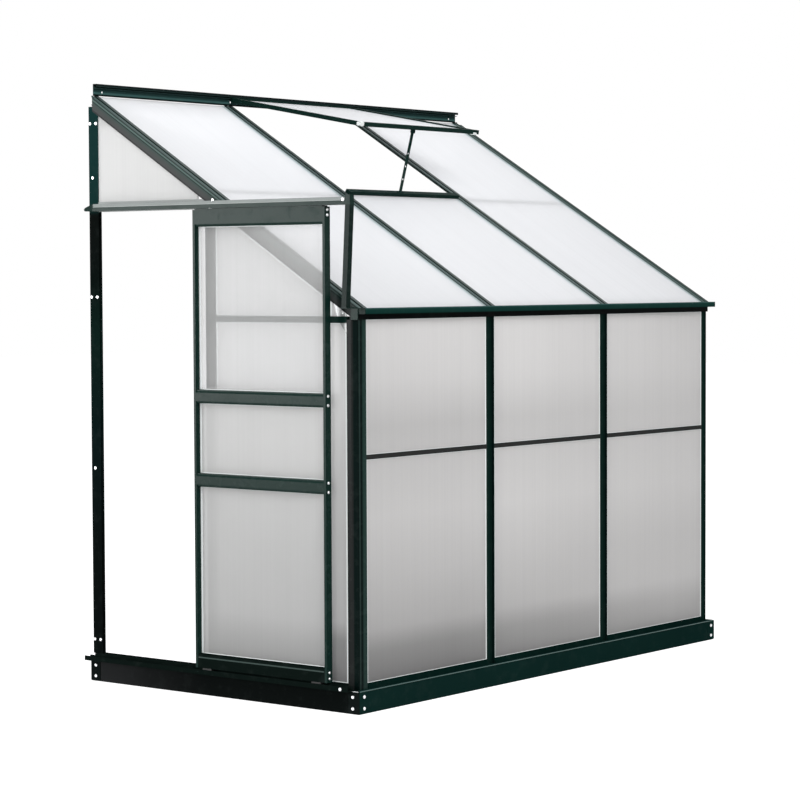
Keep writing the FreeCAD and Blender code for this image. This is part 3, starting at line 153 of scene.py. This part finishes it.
class Finish:
    """The node tree of a material or a world, built step by step: every method adds nodes to it."""

    def __init__(self, owner, output="ShaderNodeOutputMaterial"):
        self.owner = owner
        owner.use_nodes = True
        self.tree = owner.node_tree
        self.tree.nodes.clear()
        self.output = self.tree.nodes.new(output)

    @cached_property
    def place(self):
        """Object coordinates."""
        return self.tree.nodes.new("ShaderNodeTexCoord").outputs["Object"]

    def feed(self, socket, value):
        """Links a socket to another, or sets its constant; a colour is given as its three shares."""
        if isinstance(value, bpy.types.NodeSocket):
            self.tree.links.new(value, socket)
        else:
            socket.default_value = (*value, 1) if socket.type == "RGBA" else value

    def add(self, kind, inputs=None, **settings):
        """A new node, with its settings made and its inputs fed."""
        node = self.tree.nodes.new(kind)
        for key, value in settings.items():
            setattr(node, key, value)
        for key, value in (inputs or {}).items():
            self.feed(node.inputs[key], value)
        return node

    def scaled(self, x=1, y=1, z=1):
        """Object coordinates stretched by a factor along each axis."""
        return self.add("ShaderNodeMapping", {"Vector": self.place, "Scale": (x, y, z)}).outputs["Vector"]

    def axis(self, letter):
        return self.add("ShaderNodeSeparateXYZ", {"Vector": self.place}).outputs[letter]

    def noise(self, vector, scale, detail=4.0, roughness=0.55):
        return self.add("ShaderNodeTexNoise", {"Vector": vector, "Scale": scale, "Detail": detail,
                                               "Roughness": roughness}).outputs["Fac"]

    def number(self, operation, first, second=0.0, third=0.0):
        node = self.add("ShaderNodeMath", {0: first, 1: second, 2: third}, operation=operation)
        return node.outputs["Value"]

    def total(self, *parts):
        """Sum of patterns, each times its own share."""
        result, *others = [self.number("MULTIPLY", pattern, share) for pattern, share in parts]
        for product in others:
            result = self.number("ADD", result, product)
        return result

    def spread(self, value, low, high, to_low=0.0, to_high=1.0):
        """A value carried over from one range to another, and held at the ends."""
        return self.add("ShaderNodeMapRange", {"Value": value, "From Min": low, "From Max": high,
                                               "To Min": to_low, "To Max": to_high}).outputs["Result"]

    def blend(self, factor, first, second, kind="MIX"):
        node = self.add("ShaderNodeMix", data_type="RGBA", blend_type=kind)
        for key, value in (("Factor", factor), (6, first), (7, second)):
            self.feed(node.inputs[key], value)
        return node.outputs[2]

    def ramp(self, position, stops, low=None, high=None):
        """Colours along a position in metres; the stops are places in millimetres, in rising order."""
        low = stops[0][0] if low is None else low
        high = stops[-1][0] if high is None else high
        node = self.add("ShaderNodeValToRGB", {"Fac": self.spread(position, low * MM, high * MM)})
        marks = node.color_ramp.elements
        while len(marks) < len(stops):
            marks.new(0.5)
        for mark, (place, colour) in zip(marks, stops):
            mark.position = (place - low) / (high - low)
            mark.color = (*colour, 1)
        return node.outputs["Color"]

    def bump(self, height, strength, distance):
        return self.add("ShaderNodeBump", {"Height": height, "Strength": strength,
                                           "Distance": distance}).outputs["Normal"]

    def seen(self):
        """1 where the backdrop is looked at, straight or through or off something, and 0 for its light."""
        ray = self.add("ShaderNodeLightPath").outputs
        straight = self.number("MAXIMUM", ray["Is Camera Ray"], ray["Is Transmission Ray"])
        return self.number("MAXIMUM", straight, ray["Is Glossy Ray"])

    def mixed(self, share, first, second):
        """Shader between two others."""
        return self.add("ShaderNodeMixShader", {0: share, 1: first, 2: second}).outputs["Shader"]

    def done(self, shader):
        self.tree.links.new(shader, self.output.inputs["Surface"])
        return self.owner


def new_finish(name):
    return Finish(bpy.data.materials.new(name))


def from_bar(f):
    """Signed distance along X from the middle of the nearest upright or rafter."""
    half_bay = BAY_WIDTH / 2 * MM
    return f.number("WRAP", f.number("SUBTRACT", f.axis("X"), FIRST_BAR_X * MM), half_bay, -half_bay)


def from_roof(f):
    """Distance out of the roof's face, a slope that starts over the posts; under it, it is negative."""
    up = f.number("MULTIPLY", f.number("SUBTRACT", f.axis("Z"), ROOF_Z * MM), math.cos(PITCH))
    back = f.number("MULTIPLY", f.number("SUBTRACT", f.axis("Y"), POST_FACE_Y * MM), math.sin(PITCH))
    return f.number("SUBTRACT", up, back)


def powder_coat(name, colour, shade, roughness, specular, bands=(), skirt=None, dark_beyond=None):
    """Powder coat: fine orange peel, faint dust in patches, and a colour that drifts a little along a bar.

    Bands of painted highlight and painted shade may run across a bar or along an axis; a rafter's side has
    its own bands, with painted sheen, and turns dark toward the eave in painted shade. Beyond a place along
    X the coat may lie in painted shade."""
    f = new_finish(name)
    drift = f.noise(f.scaled(), scale=3.1, detail=3.0)
    peel = f.noise(f.scaled(), scale=900.0, detail=2.0)
    dust = f.spread(f.noise(f.scaled(), scale=23.0, detail=6.0, roughness=0.65), 0.52, 0.78)
    tone = f.blend(drift, colour, shade)
    for place, stops in bands:
        position = f.axis(place) if isinstance(place, str) else place(f)
        tone = f.blend(f.spread(drift, 0.3, 0.7, to_low=0.86), tone, f.ramp(position, stops))
    if skirt:
        # Painted sheen and highlight on a rafter's side, and painted shade toward the eave
        depth = from_roof(f)
        eave, inner = (place * MM for place in EAVE_SHADE_Y)
        at_eave = f.spread(f.axis("Y"), eave, inner, to_low=0.80, to_high=0.0)
        side = f.blend(at_eave, f.ramp(depth, skirt), BLACK_GREEN)
        tone = f.blend(f.number("LESS_THAN", depth, -SIDE_DEPTH * MM), tone, side)
    if dark_beyond is not None:
        tone = f.blend(f.number("GREATER_THAN", f.axis("X"), dark_beyond * MM), tone, NEAR_BLACK)
    dusty = f.blend(f.number("MULTIPLY", dust, DUST_SHARE), tone, DUST)
    coat = f.add("ShaderNodeBsdfPrincipled", {
        "Base Color": dusty, "Roughness": f.spread(dust, 0.0, 1.0, roughness, roughness + 0.14),
        "Specular IOR Level": specular, "Normal": f.bump(peel, strength=0.10, distance=0.0004)})
    return f.done(coat.outputs["BSDF"])


def by_height(f, shares):
    """Share of a sheet's colour at a height, from a list of heights in millimetres and shares."""
    return f.ramp(f.axis("Z"), [(height, (share,) * 3) for height, share in shares], 0, TONES_TOP)


def twin_wall(name, along, colour, shares, see_through, far_shares=None, beside=None, relief=0.05,
              gloss=0.12, lit_through=0.45, low_see_through=None):
    """Twin-wall sheet: even flutes across one axis, clear skins, and a milky body that lets light in.

    The body's tone follows a list of heights: painted shade, darker toward the foot. A second list may take
    over toward the far end, and a tint may lie beside the bars. A door's sheets may let less through below
    its upper middle rail."""
    f = new_finish(name)
    wave = f.number("SINE", f.number("MULTIPLY", f.axis(along), 2 * math.pi / (FLUTE * MM)))
    web = f.spread(wave, 0.72, 1.0)
    cloud = f.noise(f.scaled(z=0.6), scale=1.7, detail=3.0)
    drawn_out = np.array([1.0 if axis == along else 0.004 for axis in "XYZ"])
    streak = f.noise(f.scaled(*(140.0 * drawn_out)), scale=1.0, detail=3.0, roughness=0.7)
    broad_streak = f.noise(f.scaled(*(34.0 * drawn_out)), scale=1.0, detail=2.0)
    # Painted shade: the listed shares darken the sheet toward the foot
    share = by_height(f, shares)
    if far_shares:
        near, far = (place * MM for place in FAR_TONES_X)
        share = f.blend(f.spread(f.axis("X"), near, far), share, by_height(f, far_shares))
    marks = f.total((cloud, 0.10), (streak, 0.16), (broad_streak, 0.10), (web, 0.06))
    dim = f.number("MULTIPLY", share, f.spread(marks, 0.08, 0.34, to_low=1.0, to_high=0.88))
    tint = f.blend(dim, (0, 0, 0), colour)
    if beside:
        tint = f.blend(1.0, tint, f.ramp(from_bar(f), beside), "MULTIPLY")
    if low_see_through is not None:
        low, high = (place * MM for place in CLEAR_PANE_Z)
        see_through = f.spread(f.axis("Z"), low, high, low_see_through, see_through)
    skin = f.add("ShaderNodeBsdfPrincipled", {
        "Base Color": tint, "Roughness": 0.34, "IOR": 1.45, "Specular IOR Level": gloss,
        "Normal": f.bump(wave, strength=relief, distance=0.0005)})
    glow = f.add("ShaderNodeBsdfTranslucent", {"Color": tint})
    clear = f.add("ShaderNodeBsdfTransparent", {"Color": (0.96, 0.96, 0.965)})
    body = f.mixed(lit_through, skin.outputs["BSDF"], glow.outputs["BSDF"])
    return f.done(f.mixed(see_through, body, clear.outputs["BSDF"]))


def bright_metal(name, colour, roughness):
    """Plated or mill-finish metal: brushed streaks, with duller spots."""
    f = new_finish(name)
    streak = f.noise(f.scaled(z=30), scale=60.0, detail=3.0)
    spots = f.noise(f.scaled(), scale=160.0)
    dull = [0.72 * share for share in colour]
    metal = f.add("ShaderNodeBsdfPrincipled", {
        "Base Color": f.blend(f.spread(spots, 0.45, 0.75, to_high=0.6), colour, dull), "Metallic": 1.0,
        "Roughness": f.spread(streak, 0.2, 0.8, roughness, roughness + 0.18),
        "Normal": f.bump(streak, strength=0.06, distance=0.0003)})
    return f.done(metal.outputs["BSDF"])


def moulded(name, colour, roughness):
    """Moulded plastic with a fine grain."""
    f = new_finish(name)
    grain = f.noise(f.scaled(), scale=1400.0, detail=2.0)
    patch = f.noise(f.scaled(), scale=30.0, detail=3.0)
    pale = [min(1.0, 1.12 * share + 0.01) for share in colour]
    plastic = f.add("ShaderNodeBsdfPrincipled", {
        "Base Color": f.blend(patch, colour, pale),
        "Roughness": f.spread(patch, 0.2, 0.8, roughness, roughness + 0.2),
        "Specular IOR Level": 0.3, "Normal": f.bump(grain, strength=0.15, distance=0.0004)})
    return f.done(plastic.outputs["BSDF"])


green = powder_coat("green_coat", DARK_GREEN, SHADED_GREEN, roughness=0.26, specular=0.06)
front_green = powder_coat("front_coat", DARK_GREEN, SHADED_GREEN, roughness=0.40, specular=0.02)
# Painted shade: the far gutter cap near black
cap_green = powder_coat("cap_coat", SHADED_GREEN, BLACK_GREEN, roughness=0.26, specular=0.042,
                        dark_beyond=1000)
rafter_green = powder_coat("rafter_coat", DARK_GREEN, SHADED_GREEN, roughness=0.30, specular=0.03,
                           bands=[(from_bar, RAFTER_BANDS)], skirt=SKIRT_BANDS)
far_rafter_green = powder_coat("far_rafter_coat", DARK_GREEN, SHADED_GREEN, roughness=0.30, specular=0.03,
                               bands=[(from_bar, FAR_RAFTER_BANDS)])
stud_green = powder_coat("stud_coat", STUD_GREEN, SHADED_GREEN, roughness=0.42, specular=0.0,
                         bands=[(from_bar, STUD_BANDS)])
post_green = powder_coat("post_coat", SHADED_GREEN, BLACK_GREEN, roughness=0.26, specular=0.03,
                         bands=[(from_bar, POST_BANDS)])
wall_post_green = powder_coat("wall_post_coat", SHADED_GREEN, BLACK_GREEN, roughness=0.50, specular=0.0,
                              bands=[("Z", WALL_POST_BANDS)])
# Painted shade: the far end of the gutter near black
gutter_green = powder_coat("gutter_coat", DARK_GREEN, SHADED_GREEN, roughness=0.40, specular=0.01,
                           bands=[("Z", GUTTER_BANDS)], dark_beyond=1118)
ridge_green = powder_coat("ridge_coat", SHADED_GREEN, BLACK_GREEN, roughness=0.40, specular=0.01,
                          bands=[("Z", RIDGE_BANDS)])
shaded_green = powder_coat("shaded_coat", (0.0030, 0.0150, 0.0122), (0.0018, 0.0085, 0.0072),
                           roughness=0.50, specular=0.0)
# Painted shade: a near-black copy of the green for the door's sill, bottom track and bottom rail
low_shade_green = powder_coat("low_shade_coat", (0.0052, 0.0096, 0.0082), (0.0032, 0.0058, 0.0050),
                          roughness=0.50, specular=0.0)
# Painted highlight: a pale line along the door's bottom rail, under its top edge
highlight_line_grey = powder_coat("highlight_line_coat", (0.055, 0.076, 0.070), (0.042, 0.062, 0.056), roughness=0.50,
                        specular=0.0)
base_green = powder_coat("base_coat", (0.0060, 0.0240, 0.0210), (0.0045, 0.0180, 0.0160), roughness=0.50,
                         specular=0.0)
# Painted shade: a near-black copy of the base coat for the base's door end
base_black = powder_coat("base_shade_coat", NEAR_BLACK, NEAR_BLACK, roughness=0.50, specular=0.0,
                         bands=[("Y", BASE_END_BANDS)])
# Painted shade on the end legs of the base's corner brackets
corner_green = powder_coat("corner_coat", DARK_GREEN, SHADED_GREEN, roughness=0.50, specular=0.0,
                           bands=[("X", CORNER_BANDS)])
# Painted sheen: the door lintel made pale grey
sheen_grey_coat = powder_coat("sheen_grey_coat", (0.36, 0.38, 0.375), (0.32, 0.34, 0.335), roughness=0.45,
                        specular=0.10)
# Painted sheen and highlight: a grey band and a pale line along the slide rail's face
sheen_band_grey = powder_coat("sheen_band_coat", (0.27, 0.29, 0.285), (0.23, 0.25, 0.245), roughness=0.45,
                         specular=0.06)
highlight_band_grey = powder_coat("highlight_band_coat", (0.40, 0.43, 0.42), (0.34, 0.37, 0.36), roughness=0.45,
                        specular=0.06)
strip_grey = powder_coat("strip_coat", (0.026, 0.026, 0.0255), (0.015, 0.017, 0.016), roughness=0.50,
                         specular=0.03)
wall_sheet = twin_wall("wall_sheet", "X", (0.88, 0.87, 0.865), WALL_TONES, see_through=0.08,
                       far_shares=FAR_WALL_TONES)
end_sheet = twin_wall("end_sheet", "Y", (0.90, 0.90, 0.895), END_TONES, see_through=0.12, relief=0.01,
                      gloss=0.08)
far_end_sheet = twin_wall("far_end_sheet", "Y", (0.90, 0.90, 0.895), FAR_END_TONES, see_through=0.12)
roof_sheet = twin_wall("roof_sheet", "X", (0.88, 0.885, 0.90), EVEN_TONES, see_through=0.08,
                       beside=BAR_SIDE_TINT)
door_sheet = twin_wall("door_pane_sheet", "Y", (0.90, 0.90, 0.895), DOOR_TONES, see_through=0.70,
                       low_see_through=0.30, relief=0.005, gloss=0.05)
zinc = bright_metal("bright_zinc", (0.74, 0.75, 0.76), roughness=0.28)
mill = bright_metal("mill_aluminium", (0.42, 0.43, 0.43), roughness=0.34)
nylon = moulded("black_nylon", (0.02, 0.02, 0.02), roughness=0.45)
joint_white = moulded("joint_white", (0.74, 0.77, 0.76), roughness=0.4)
edge_seal = moulded("edge_seal", (0.80, 0.84, 0.83), roughness=0.42)
# Painted highlight: a pale line along the base's top front edge
base_highlight_coat = powder_coat("base_highlight_coat", (0.085, 0.150, 0.140), (0.050, 0.095, 0.088), roughness=0.30,
                        specular=0.20)
# Painted highlight: a bright line along the top of the base's door end, by the front corner
highlight_metal = bright_metal("highlight_metal", (0.80, 0.82, 0.83), roughness=0.30)

by_slot = {"green_powder_coat": green, "base_coat": base_green, "twin_wall_sheet": wall_sheet,
           "door_sheet": door_sheet, "zinc_bolt": zinc, "grey_bracket": mill, "nylon": nylon}
by_node = {"base_door_end_rail": base_black, "front_middle_strips": strip_grey, "door_lintel": sheen_grey_coat,
           "eave_gutter": gutter_green, "ridge_bar": ridge_green, "rafter_far_end": far_rafter_green,
           "far_end_panels": far_end_sheet, "base_corner_brackets": corner_green,
           "front_post_door_end": post_green, "door_end_panels": end_sheet}
groups = ((roof_sheet, ("roof_panel_door_bay", "roof_panel_middle_bay", "roof_panel_far_bay", "vent_pane")),
          (rafter_green, ("rafter_door_end", "rafter_door_side", "rafter_far_side")),
          (stud_green, ("front_stud_door_side", "front_stud_far_side", "front_post_far_end")),
          (wall_post_green, ("wall_post_door_end", "wall_post_far_end")),
          (cap_green, ("gutter_end_caps", "door_rail_strut")),
          (low_shade_green, ("door_end_sill", "door_bottom_track", "door_bottom_rail")),
          (shaded_green, ("door_jamb_post", "front_sills", "far_end_sill")),
          (front_green, ("vent_sill", "vent_bottom_bar", "vent_side_bars", "vent_hinge_bar",
                         "vent_stay_arm", "vent_stay_bracket", "roof_purlins", "door_end_eave_rail")))
for material, names in groups:
    by_node.update(dict.fromkeys(names, material))
for row in frame["record"]["subparts"]:
    finishes = nodes[row["node"]].data.materials
    finishes.clear()
    finishes.append(by_node.get(row["node"], by_slot[row["material_slot"]]))


# Pieces

def surface(name, points, close_u=False, close_v=False, flip=False):
    """Mesh whose vertices are a grid of points: rows follow the first parameter, columns the second."""
    rows, columns = points.shape[:2]
    count_u = rows if close_u else rows - 1
    count_v = columns if close_v else columns - 1
    i, j = np.meshgrid(np.arange(count_u), np.arange(count_v), indexing="ij")
    i2, j2 = (i + 1) % rows, (j + 1) % columns
    faces = np.stack([i * columns + j, i2 * columns + j, i2 * columns + j2, i * columns + j2], axis=-1)
    if flip:
        faces = faces[..., ::-1]
    mesh = bpy.data.meshes.new(name)
    mesh.from_pydata(points.reshape(-1, 3).tolist(), [], faces.reshape(-1, 4).tolist())
    return mesh


def add_piece(name, mesh, material, body):
    """Puts a mesh in the scene as a piece that moves with a body of the frame."""
    thing = bpy.data.objects.new(name, mesh)
    bpy.context.scene.collection.objects.link(thing)
    mesh.materials.append(material)
    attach(thing, body)


def sealed(loops):
    """Closed rings lofted along a path, each end drawn in to its middle point, as one grid of points."""
    first, last = (np.repeat(loops[end].mean(axis=0)[None], loops.shape[1], axis=0) for end in (0, -1))
    return np.concatenate([first[None], loops, last[None]], axis=0)


def frame_loop(points, wide, thin, rise, plane, side, rounds=9):
    """Mitred edging that lies inside a closed outline on a plane across one axis.

    Its section is half an ellipse, as wide as the edging and as high as its rise; an upright side of the
    outline has the wide edging and a level side the thin one. Each corner is moved inward to where its two
    sides, set in by their own widths, meet, by the share of the width that the section's point has. The
    back is closed by a flat strip on the plane."""
    flat = np.array(points, dtype=float)
    ahead = np.roll(flat, -1, axis=0) - flat
    ahead /= np.linalg.norm(ahead, axis=1, keepdims=True)
    area = np.sum(flat[:, 0] * np.roll(flat[:, 1], -1) - np.roll(flat[:, 0], -1) * flat[:, 1])
    left = np.stack([-ahead[:, 1], ahead[:, 0]], axis=1) * np.sign(area)
    widths = wide * np.abs(ahead[:, 1]) + thin * np.abs(ahead[:, 0])
    sides = np.stack([np.roll(left, 1, axis=0), left], axis=1)
    mitre = np.linalg.solve(sides, np.stack([np.roll(widths, 1), widths], axis=1)[..., None])[..., 0]
    turn = np.linspace(0.0, math.pi, rounds)
    spots = flat[:, None, :] + mitre[:, None, :] * ((1 - np.cos(turn)) / 2)[None, :, None]
    rises = np.broadcast_to(plane + side * rise * np.sin(turn), spots.shape[:2])
    return spots, rises, np.sign(area)


def edging(name, outlines, axis, plane, side, body, wide, thin, rise=0.9):
    """One piece of edging strip for each outline; the outlines are given across the named axis."""
    for number, points in enumerate(outlines):
        spots, rises, area = frame_loop(points, wide, thin, rise, plane, side)
        if axis == "X":
            grid = np.stack([rises, spots[..., 0], spots[..., 1]], axis=-1)
        else:
            grid = np.stack([spots[..., 0], rises, spots[..., 1]], axis=-1)
        turned = (area * side > 0) == (axis == "X")
        mesh = surface(f"{name}_{number}", grid * MM, close_u=True, close_v=True, flip=not turned)
        add_piece(f"{name}_{number}", mesh, edge_seal, body)


def bead(name, start, end, width, height, material, body, rounds=13, taper=4.0):
    """Straight bead along X or Y: an ellipse that swells from either end as the root of the distance."""
    start, end = np.array(start, dtype=float), np.array(end, dtype=float)
    length = np.linalg.norm(end - start)
    ahead = (end - start) / length
    across = np.abs(ahead[[1, 0, 2]])
    along = np.concatenate([np.linspace(0, taper, 5), np.linspace(2 * taper, length - 2 * taper, 12),
                            np.linspace(length - taper, length, 5)])
    swell = np.sqrt(np.clip(np.minimum(along, length - along) / taper, 0.02, 1.0))
    turn = np.linspace(0, 2 * math.pi, rounds, endpoint=False)
    ring = (np.cos(turn)[:, None] * across * width + np.sin(turn)[:, None] * UP * height) / 2
    line = start + ahead * along[:, None]
    loops = line[:, None, :] + swell[:, None, None] * ring[None]
    facing = np.dot(np.cross(across, UP), ahead) > 0
    mesh = surface(name, sealed(loops) * MM, close_v=True, flip=not facing)
    add_piece(name, mesh, material, body)


def raised(value, power):
    """A value raised to a power, with its sign kept."""
    return np.sign(value) * np.abs(value) ** power


def cushion(name, low, high, power, lean, material, body, columns=28, rows=20):
    """Rounded box between two corners: a sphere's angles with their cosines and sines raised to a power.

    A lean turns it about the X axis through its middle."""
    low, high = np.array(low), np.array(high)
    u = np.linspace(-math.pi / 2, math.pi / 2, rows)
    v = np.linspace(-math.pi, math.pi, columns, endpoint=False)
    u, v = np.meshgrid(u, v, indexing="ij")
    girth = raised(np.cos(u), power)
    ball = np.stack([girth * raised(np.cos(v), power), girth * raised(np.sin(v), power),
                     raised(np.sin(u), power)], axis=-1)
    spots = ball * (high - low) / 2
    cosine, sine = math.cos(lean), math.sin(lean)
    spots = spots @ np.array([[1, 0, 0], [0, cosine, sine], [0, -sine, cosine]])
    mesh = surface(name, (spots + (low + high) / 2) * MM, close_v=True, flip=True)
    add_piece(name, mesh, material, body)


def skirt_foot(y):
    """Height of the lower edge of an end rafter's skirt."""
    return ROOF_Z + (y - POST_FACE_Y) * math.tan(PITCH) - SKIRT_DEPTH / math.cos(PITCH)


def upright(low_x, high_x, low_z, high_z):
    """Corners of an upright rectangle."""
    return (low_x, low_z), (high_x, low_z), (high_x, high_z), (low_x, high_z)


def gable(low_y, high_y, low_z):
    """Corners of an outline on an eave rail, whose top follows the end rafter's skirt."""
    return (low_y, low_z), (high_y, low_z), (high_y, skirt_foot(high_y)), (low_y, skirt_foot(low_y))


EAVE_GUSSET_RUN = 64.0
MIDDLE_RAIL_HEIGHT = 47.0

# Pale edging on the sheets, beside the bars that hold them
bar_sides = [reach(name, "X") for name in ("front_post_door_end", "front_stud_door_side",
                                           "front_stud_far_side", "front_post_far_end")]
bays = [(left[1], right[0]) for left, right in zip(bar_sides, bar_sides[1:])]
sill_top = reach("front_sills", "Z")[1]
strip = reach("front_middle_strips", "Z")
levels = ((sill_top, strip[0]), (strip[1], reach("eave_gutter", "Z")[0]))
edging("front_sheet_edging", [upright(*bay, *level) for bay in bays for level in levels],
       "Y", reach("front_lower_panels", "Y")[0], -1, "frame", wide=5.0, thin=2.0)

post_back = reach("front_post_door_end", "Y")[1]
jamb = reach("door_jamb_post", "Y")
wall_post = reach("wall_post_door_end", "Y")[0]
eave_rail = reach("door_end_eave_rail", "Z")
before_jamb = [upright(post_back, jamb[0], sill_top, eave_rail[0]),
               gable(post_back + EAVE_GUSSET_RUN, jamb[0], eave_rail[1])]
behind_jamb = [upright(jamb[1], wall_post, sill_top, eave_rail[0]), gable(jamb[1], wall_post, eave_rail[1])]
edging("door_end_sheet_edging", before_jamb,
       "X", reach("door_end_panels", "X")[0], -1, "frame", wide=7.0, thin=3.0)
edging("far_end_sheet_edging", before_jamb + behind_jamb,
       "X", reach("far_end_panels", "X")[1], 1, "frame", wide=7.0, thin=3.0)

stiles = reach("door_front_stile", "Y")[1], reach("door_rear_stile", "Y")[0]
middle_rails = reach("door_middle_rails", "Z")
foot_top = reach("door_bottom_rail", "Z")[1]
door_levels = ((foot_top, middle_rails[0]),
               (middle_rails[0] + MIDDLE_RAIL_HEIGHT, middle_rails[1] - MIDDLE_RAIL_HEIGHT),
               (middle_rails[1], reach("door_top_rail", "Z")[0]))
edging("door_pane_edging", [upright(*stiles, *level) for level in door_levels],
       "X", reach("door_upper_pane", "X")[0], -1, "door", wide=8.0, thin=2.5)

# Painted highlights along edges where light catches them, and a painted sheen band on the slide rail
base_ends = reach("base_front_rail", "X")
base_top = reach("base_front_rail", "Z")[1]
bracket_x = reach("base_corner_brackets", "X")[0]
bracket_y = reach("base_corner_brackets", "Y")[0]
rail_face = reach("door_slide_rail", "X")[0]
rail_ends = reach("door_slide_rail", "Y")
rail_top = reach("door_slide_rail", "Z")[1]
foot_face = reach("door_bottom_rail", "X")[0]

edge_z = base_top - 1.6
bead("base_front_highlight_line", (base_ends[0] + 1, bracket_y, edge_z), (base_ends[1] - 1, bracket_y, edge_z),
     width=1.0, height=3.4, material=base_highlight_coat, body="frame")
edge_z = base_top - 1.4
bead("base_end_highlight_line", (bracket_x, bracket_y + 3, edge_z), (bracket_x, bracket_y + 61, edge_z),
     width=1.0, height=2.6, material=highlight_metal, body="frame")
edge_z = rail_top - 4.6
bead("slide_rail_sheen_band", (rail_face, rail_ends[0] + 1, edge_z), (rail_face, rail_ends[1] - 2, edge_z),
     width=1.2, height=9.0, material=sheen_band_grey, body="frame")
edge_z = rail_top - 10.6
bead("slide_rail_highlight_band", (rail_face, rail_ends[0] + 1, edge_z), (rail_face, rail_ends[1] - 2, edge_z),
     width=1.0, height=2.6, material=highlight_band_grey, body="frame")
edge_z = foot_top - 12.5
bead("door_rail_highlight_line", (foot_face, stiles[0] + 2, edge_z), (foot_face, stiles[1] - 2, edge_z),
     width=1.0, height=5.0, material=highlight_line_grey, body="door")

# Corner joints of the vent, between opposite corners before they lean with it
for name, low, high in (("vent_joint_door_side", (-345.2, -18.0, 2005.4), (-318.0, 2.4, 2023.0)),
                        ("vent_joint_far_side", (351.0, -16.4, 2002.6), (376.0, 0.8, 2012.8))):
    cushion(name, low, high, power=0.45, lean=PITCH - VENT_OPENING, material=joint_white, body="vent")


# Stage

def stage_floor():
    """Flat square floor around the greenhouse: white where it is looked at, and matt grey for its light."""
    side = np.linspace(-30.0, 30.0, 3)
    x, y = np.meshgrid(side, side, indexing="ij")
    mesh = surface("floor", np.stack([x, y, np.full_like(x, -0.0015)], axis=-1))
    floor = bpy.data.objects.new("floor", mesh)
    bpy.context.scene.collection.objects.link(floor)
    f = new_finish("floor_white")
    matt = f.add("ShaderNodeBsdfDiffuse", {"Color": (0.62, 0.62, 0.62)}).outputs["BSDF"]
    white = f.add("ShaderNodeEmission", {"Color": (1, 1, 1), "Strength": 0.86}).outputs["Emission"]
    lifted = f.add("ShaderNodeAddShader", {0: matt, 1: white}).outputs["Shader"]
    mesh.materials.append(f.done(f.mixed(f.seen(), matt, lifted)))


def studio_world():
    """White backdrop where it is looked at, and a softer grey-white light for everything else."""
    f = Finish(bpy.data.worlds.new("studio"), "ShaderNodeOutputWorld")
    light = f.add("ShaderNodeBackground", {"Color": (0.97, 0.985, 1.0), "Strength": 0.34})
    white = f.add("ShaderNodeBackground", {"Color": (1, 1, 1), "Strength": 1.0})
    shader = f.mixed(f.seen(), light.outputs["Background"], white.outputs["Background"])
    bpy.context.scene.world = f.done(shader)


def softbox(name, position, target, width, height, power):
    """Rectangular area light that faces a point."""
    light = bpy.data.lights.new(name, "AREA")
    light.shape = "RECTANGLE"
    light.size = width
    light.size_y = height
    light.energy = power
    lamp = bpy.data.objects.new(name, light)
    bpy.context.scene.collection.objects.link(lamp)
    lamp.location = position
    lamp.rotation_euler = (Vector(target) - Vector(position)).to_track_quat("-Z", "Y").to_euler()


def studio_camera():
    """The photograph's camera: its place, turn and lens, fitted to the straight edges of the frame."""
    place = (-7.664, -5.970, 1.444)
    turn, lift, roll = math.radians(38.26), math.radians(-2.69), math.radians(-0.24)
    lens_in_pixels = 2568.0
    photo_width = 800
    forward = Vector((math.cos(turn) * math.cos(lift), math.sin(turn) * math.cos(lift), math.sin(lift)))
    right = Vector((math.sin(turn), -math.cos(turn), 0))
    up = right.cross(forward)
    right, up = (right * math.cos(roll) + up * math.sin(roll), up * math.cos(roll) - right * math.sin(roll))
    data = bpy.data.cameras.new("camera")
    data.sensor_width = 36.0
    data.lens = lens_in_pixels / photo_width * data.sensor_width
    data.clip_end = 100.0
    camera = bpy.data.objects.new("camera", data)
    bpy.context.scene.collection.objects.link(camera)
    turned = Matrix((right, up, -forward)).transposed().to_4x4()
    camera.matrix_world = Matrix.Translation(place) @ turned
    bpy.context.scene.camera = camera


stage_floor()
studio_world()
softbox("key", (-5.0, -7.5, 7.0), (0, 0, 1.0), width=5.0, height=5.0, power=700)
softbox("left_back", (-8.2, 6.5, 1.8), (-1.0, 0, 1.2), width=3.2, height=3.0, power=520)
softbox("left_fill", (-9.0, -2.5, 1.3), (-1.0, 0, 1.0), width=3.0, height=2.4, power=130)
softbox("top", (0.5, -0.5, 7.5), (0, 0, 1.2), width=5.0, height=5.0, power=195)
studio_camera()
bpy.context.scene.view_settings.view_transform = "Standard"
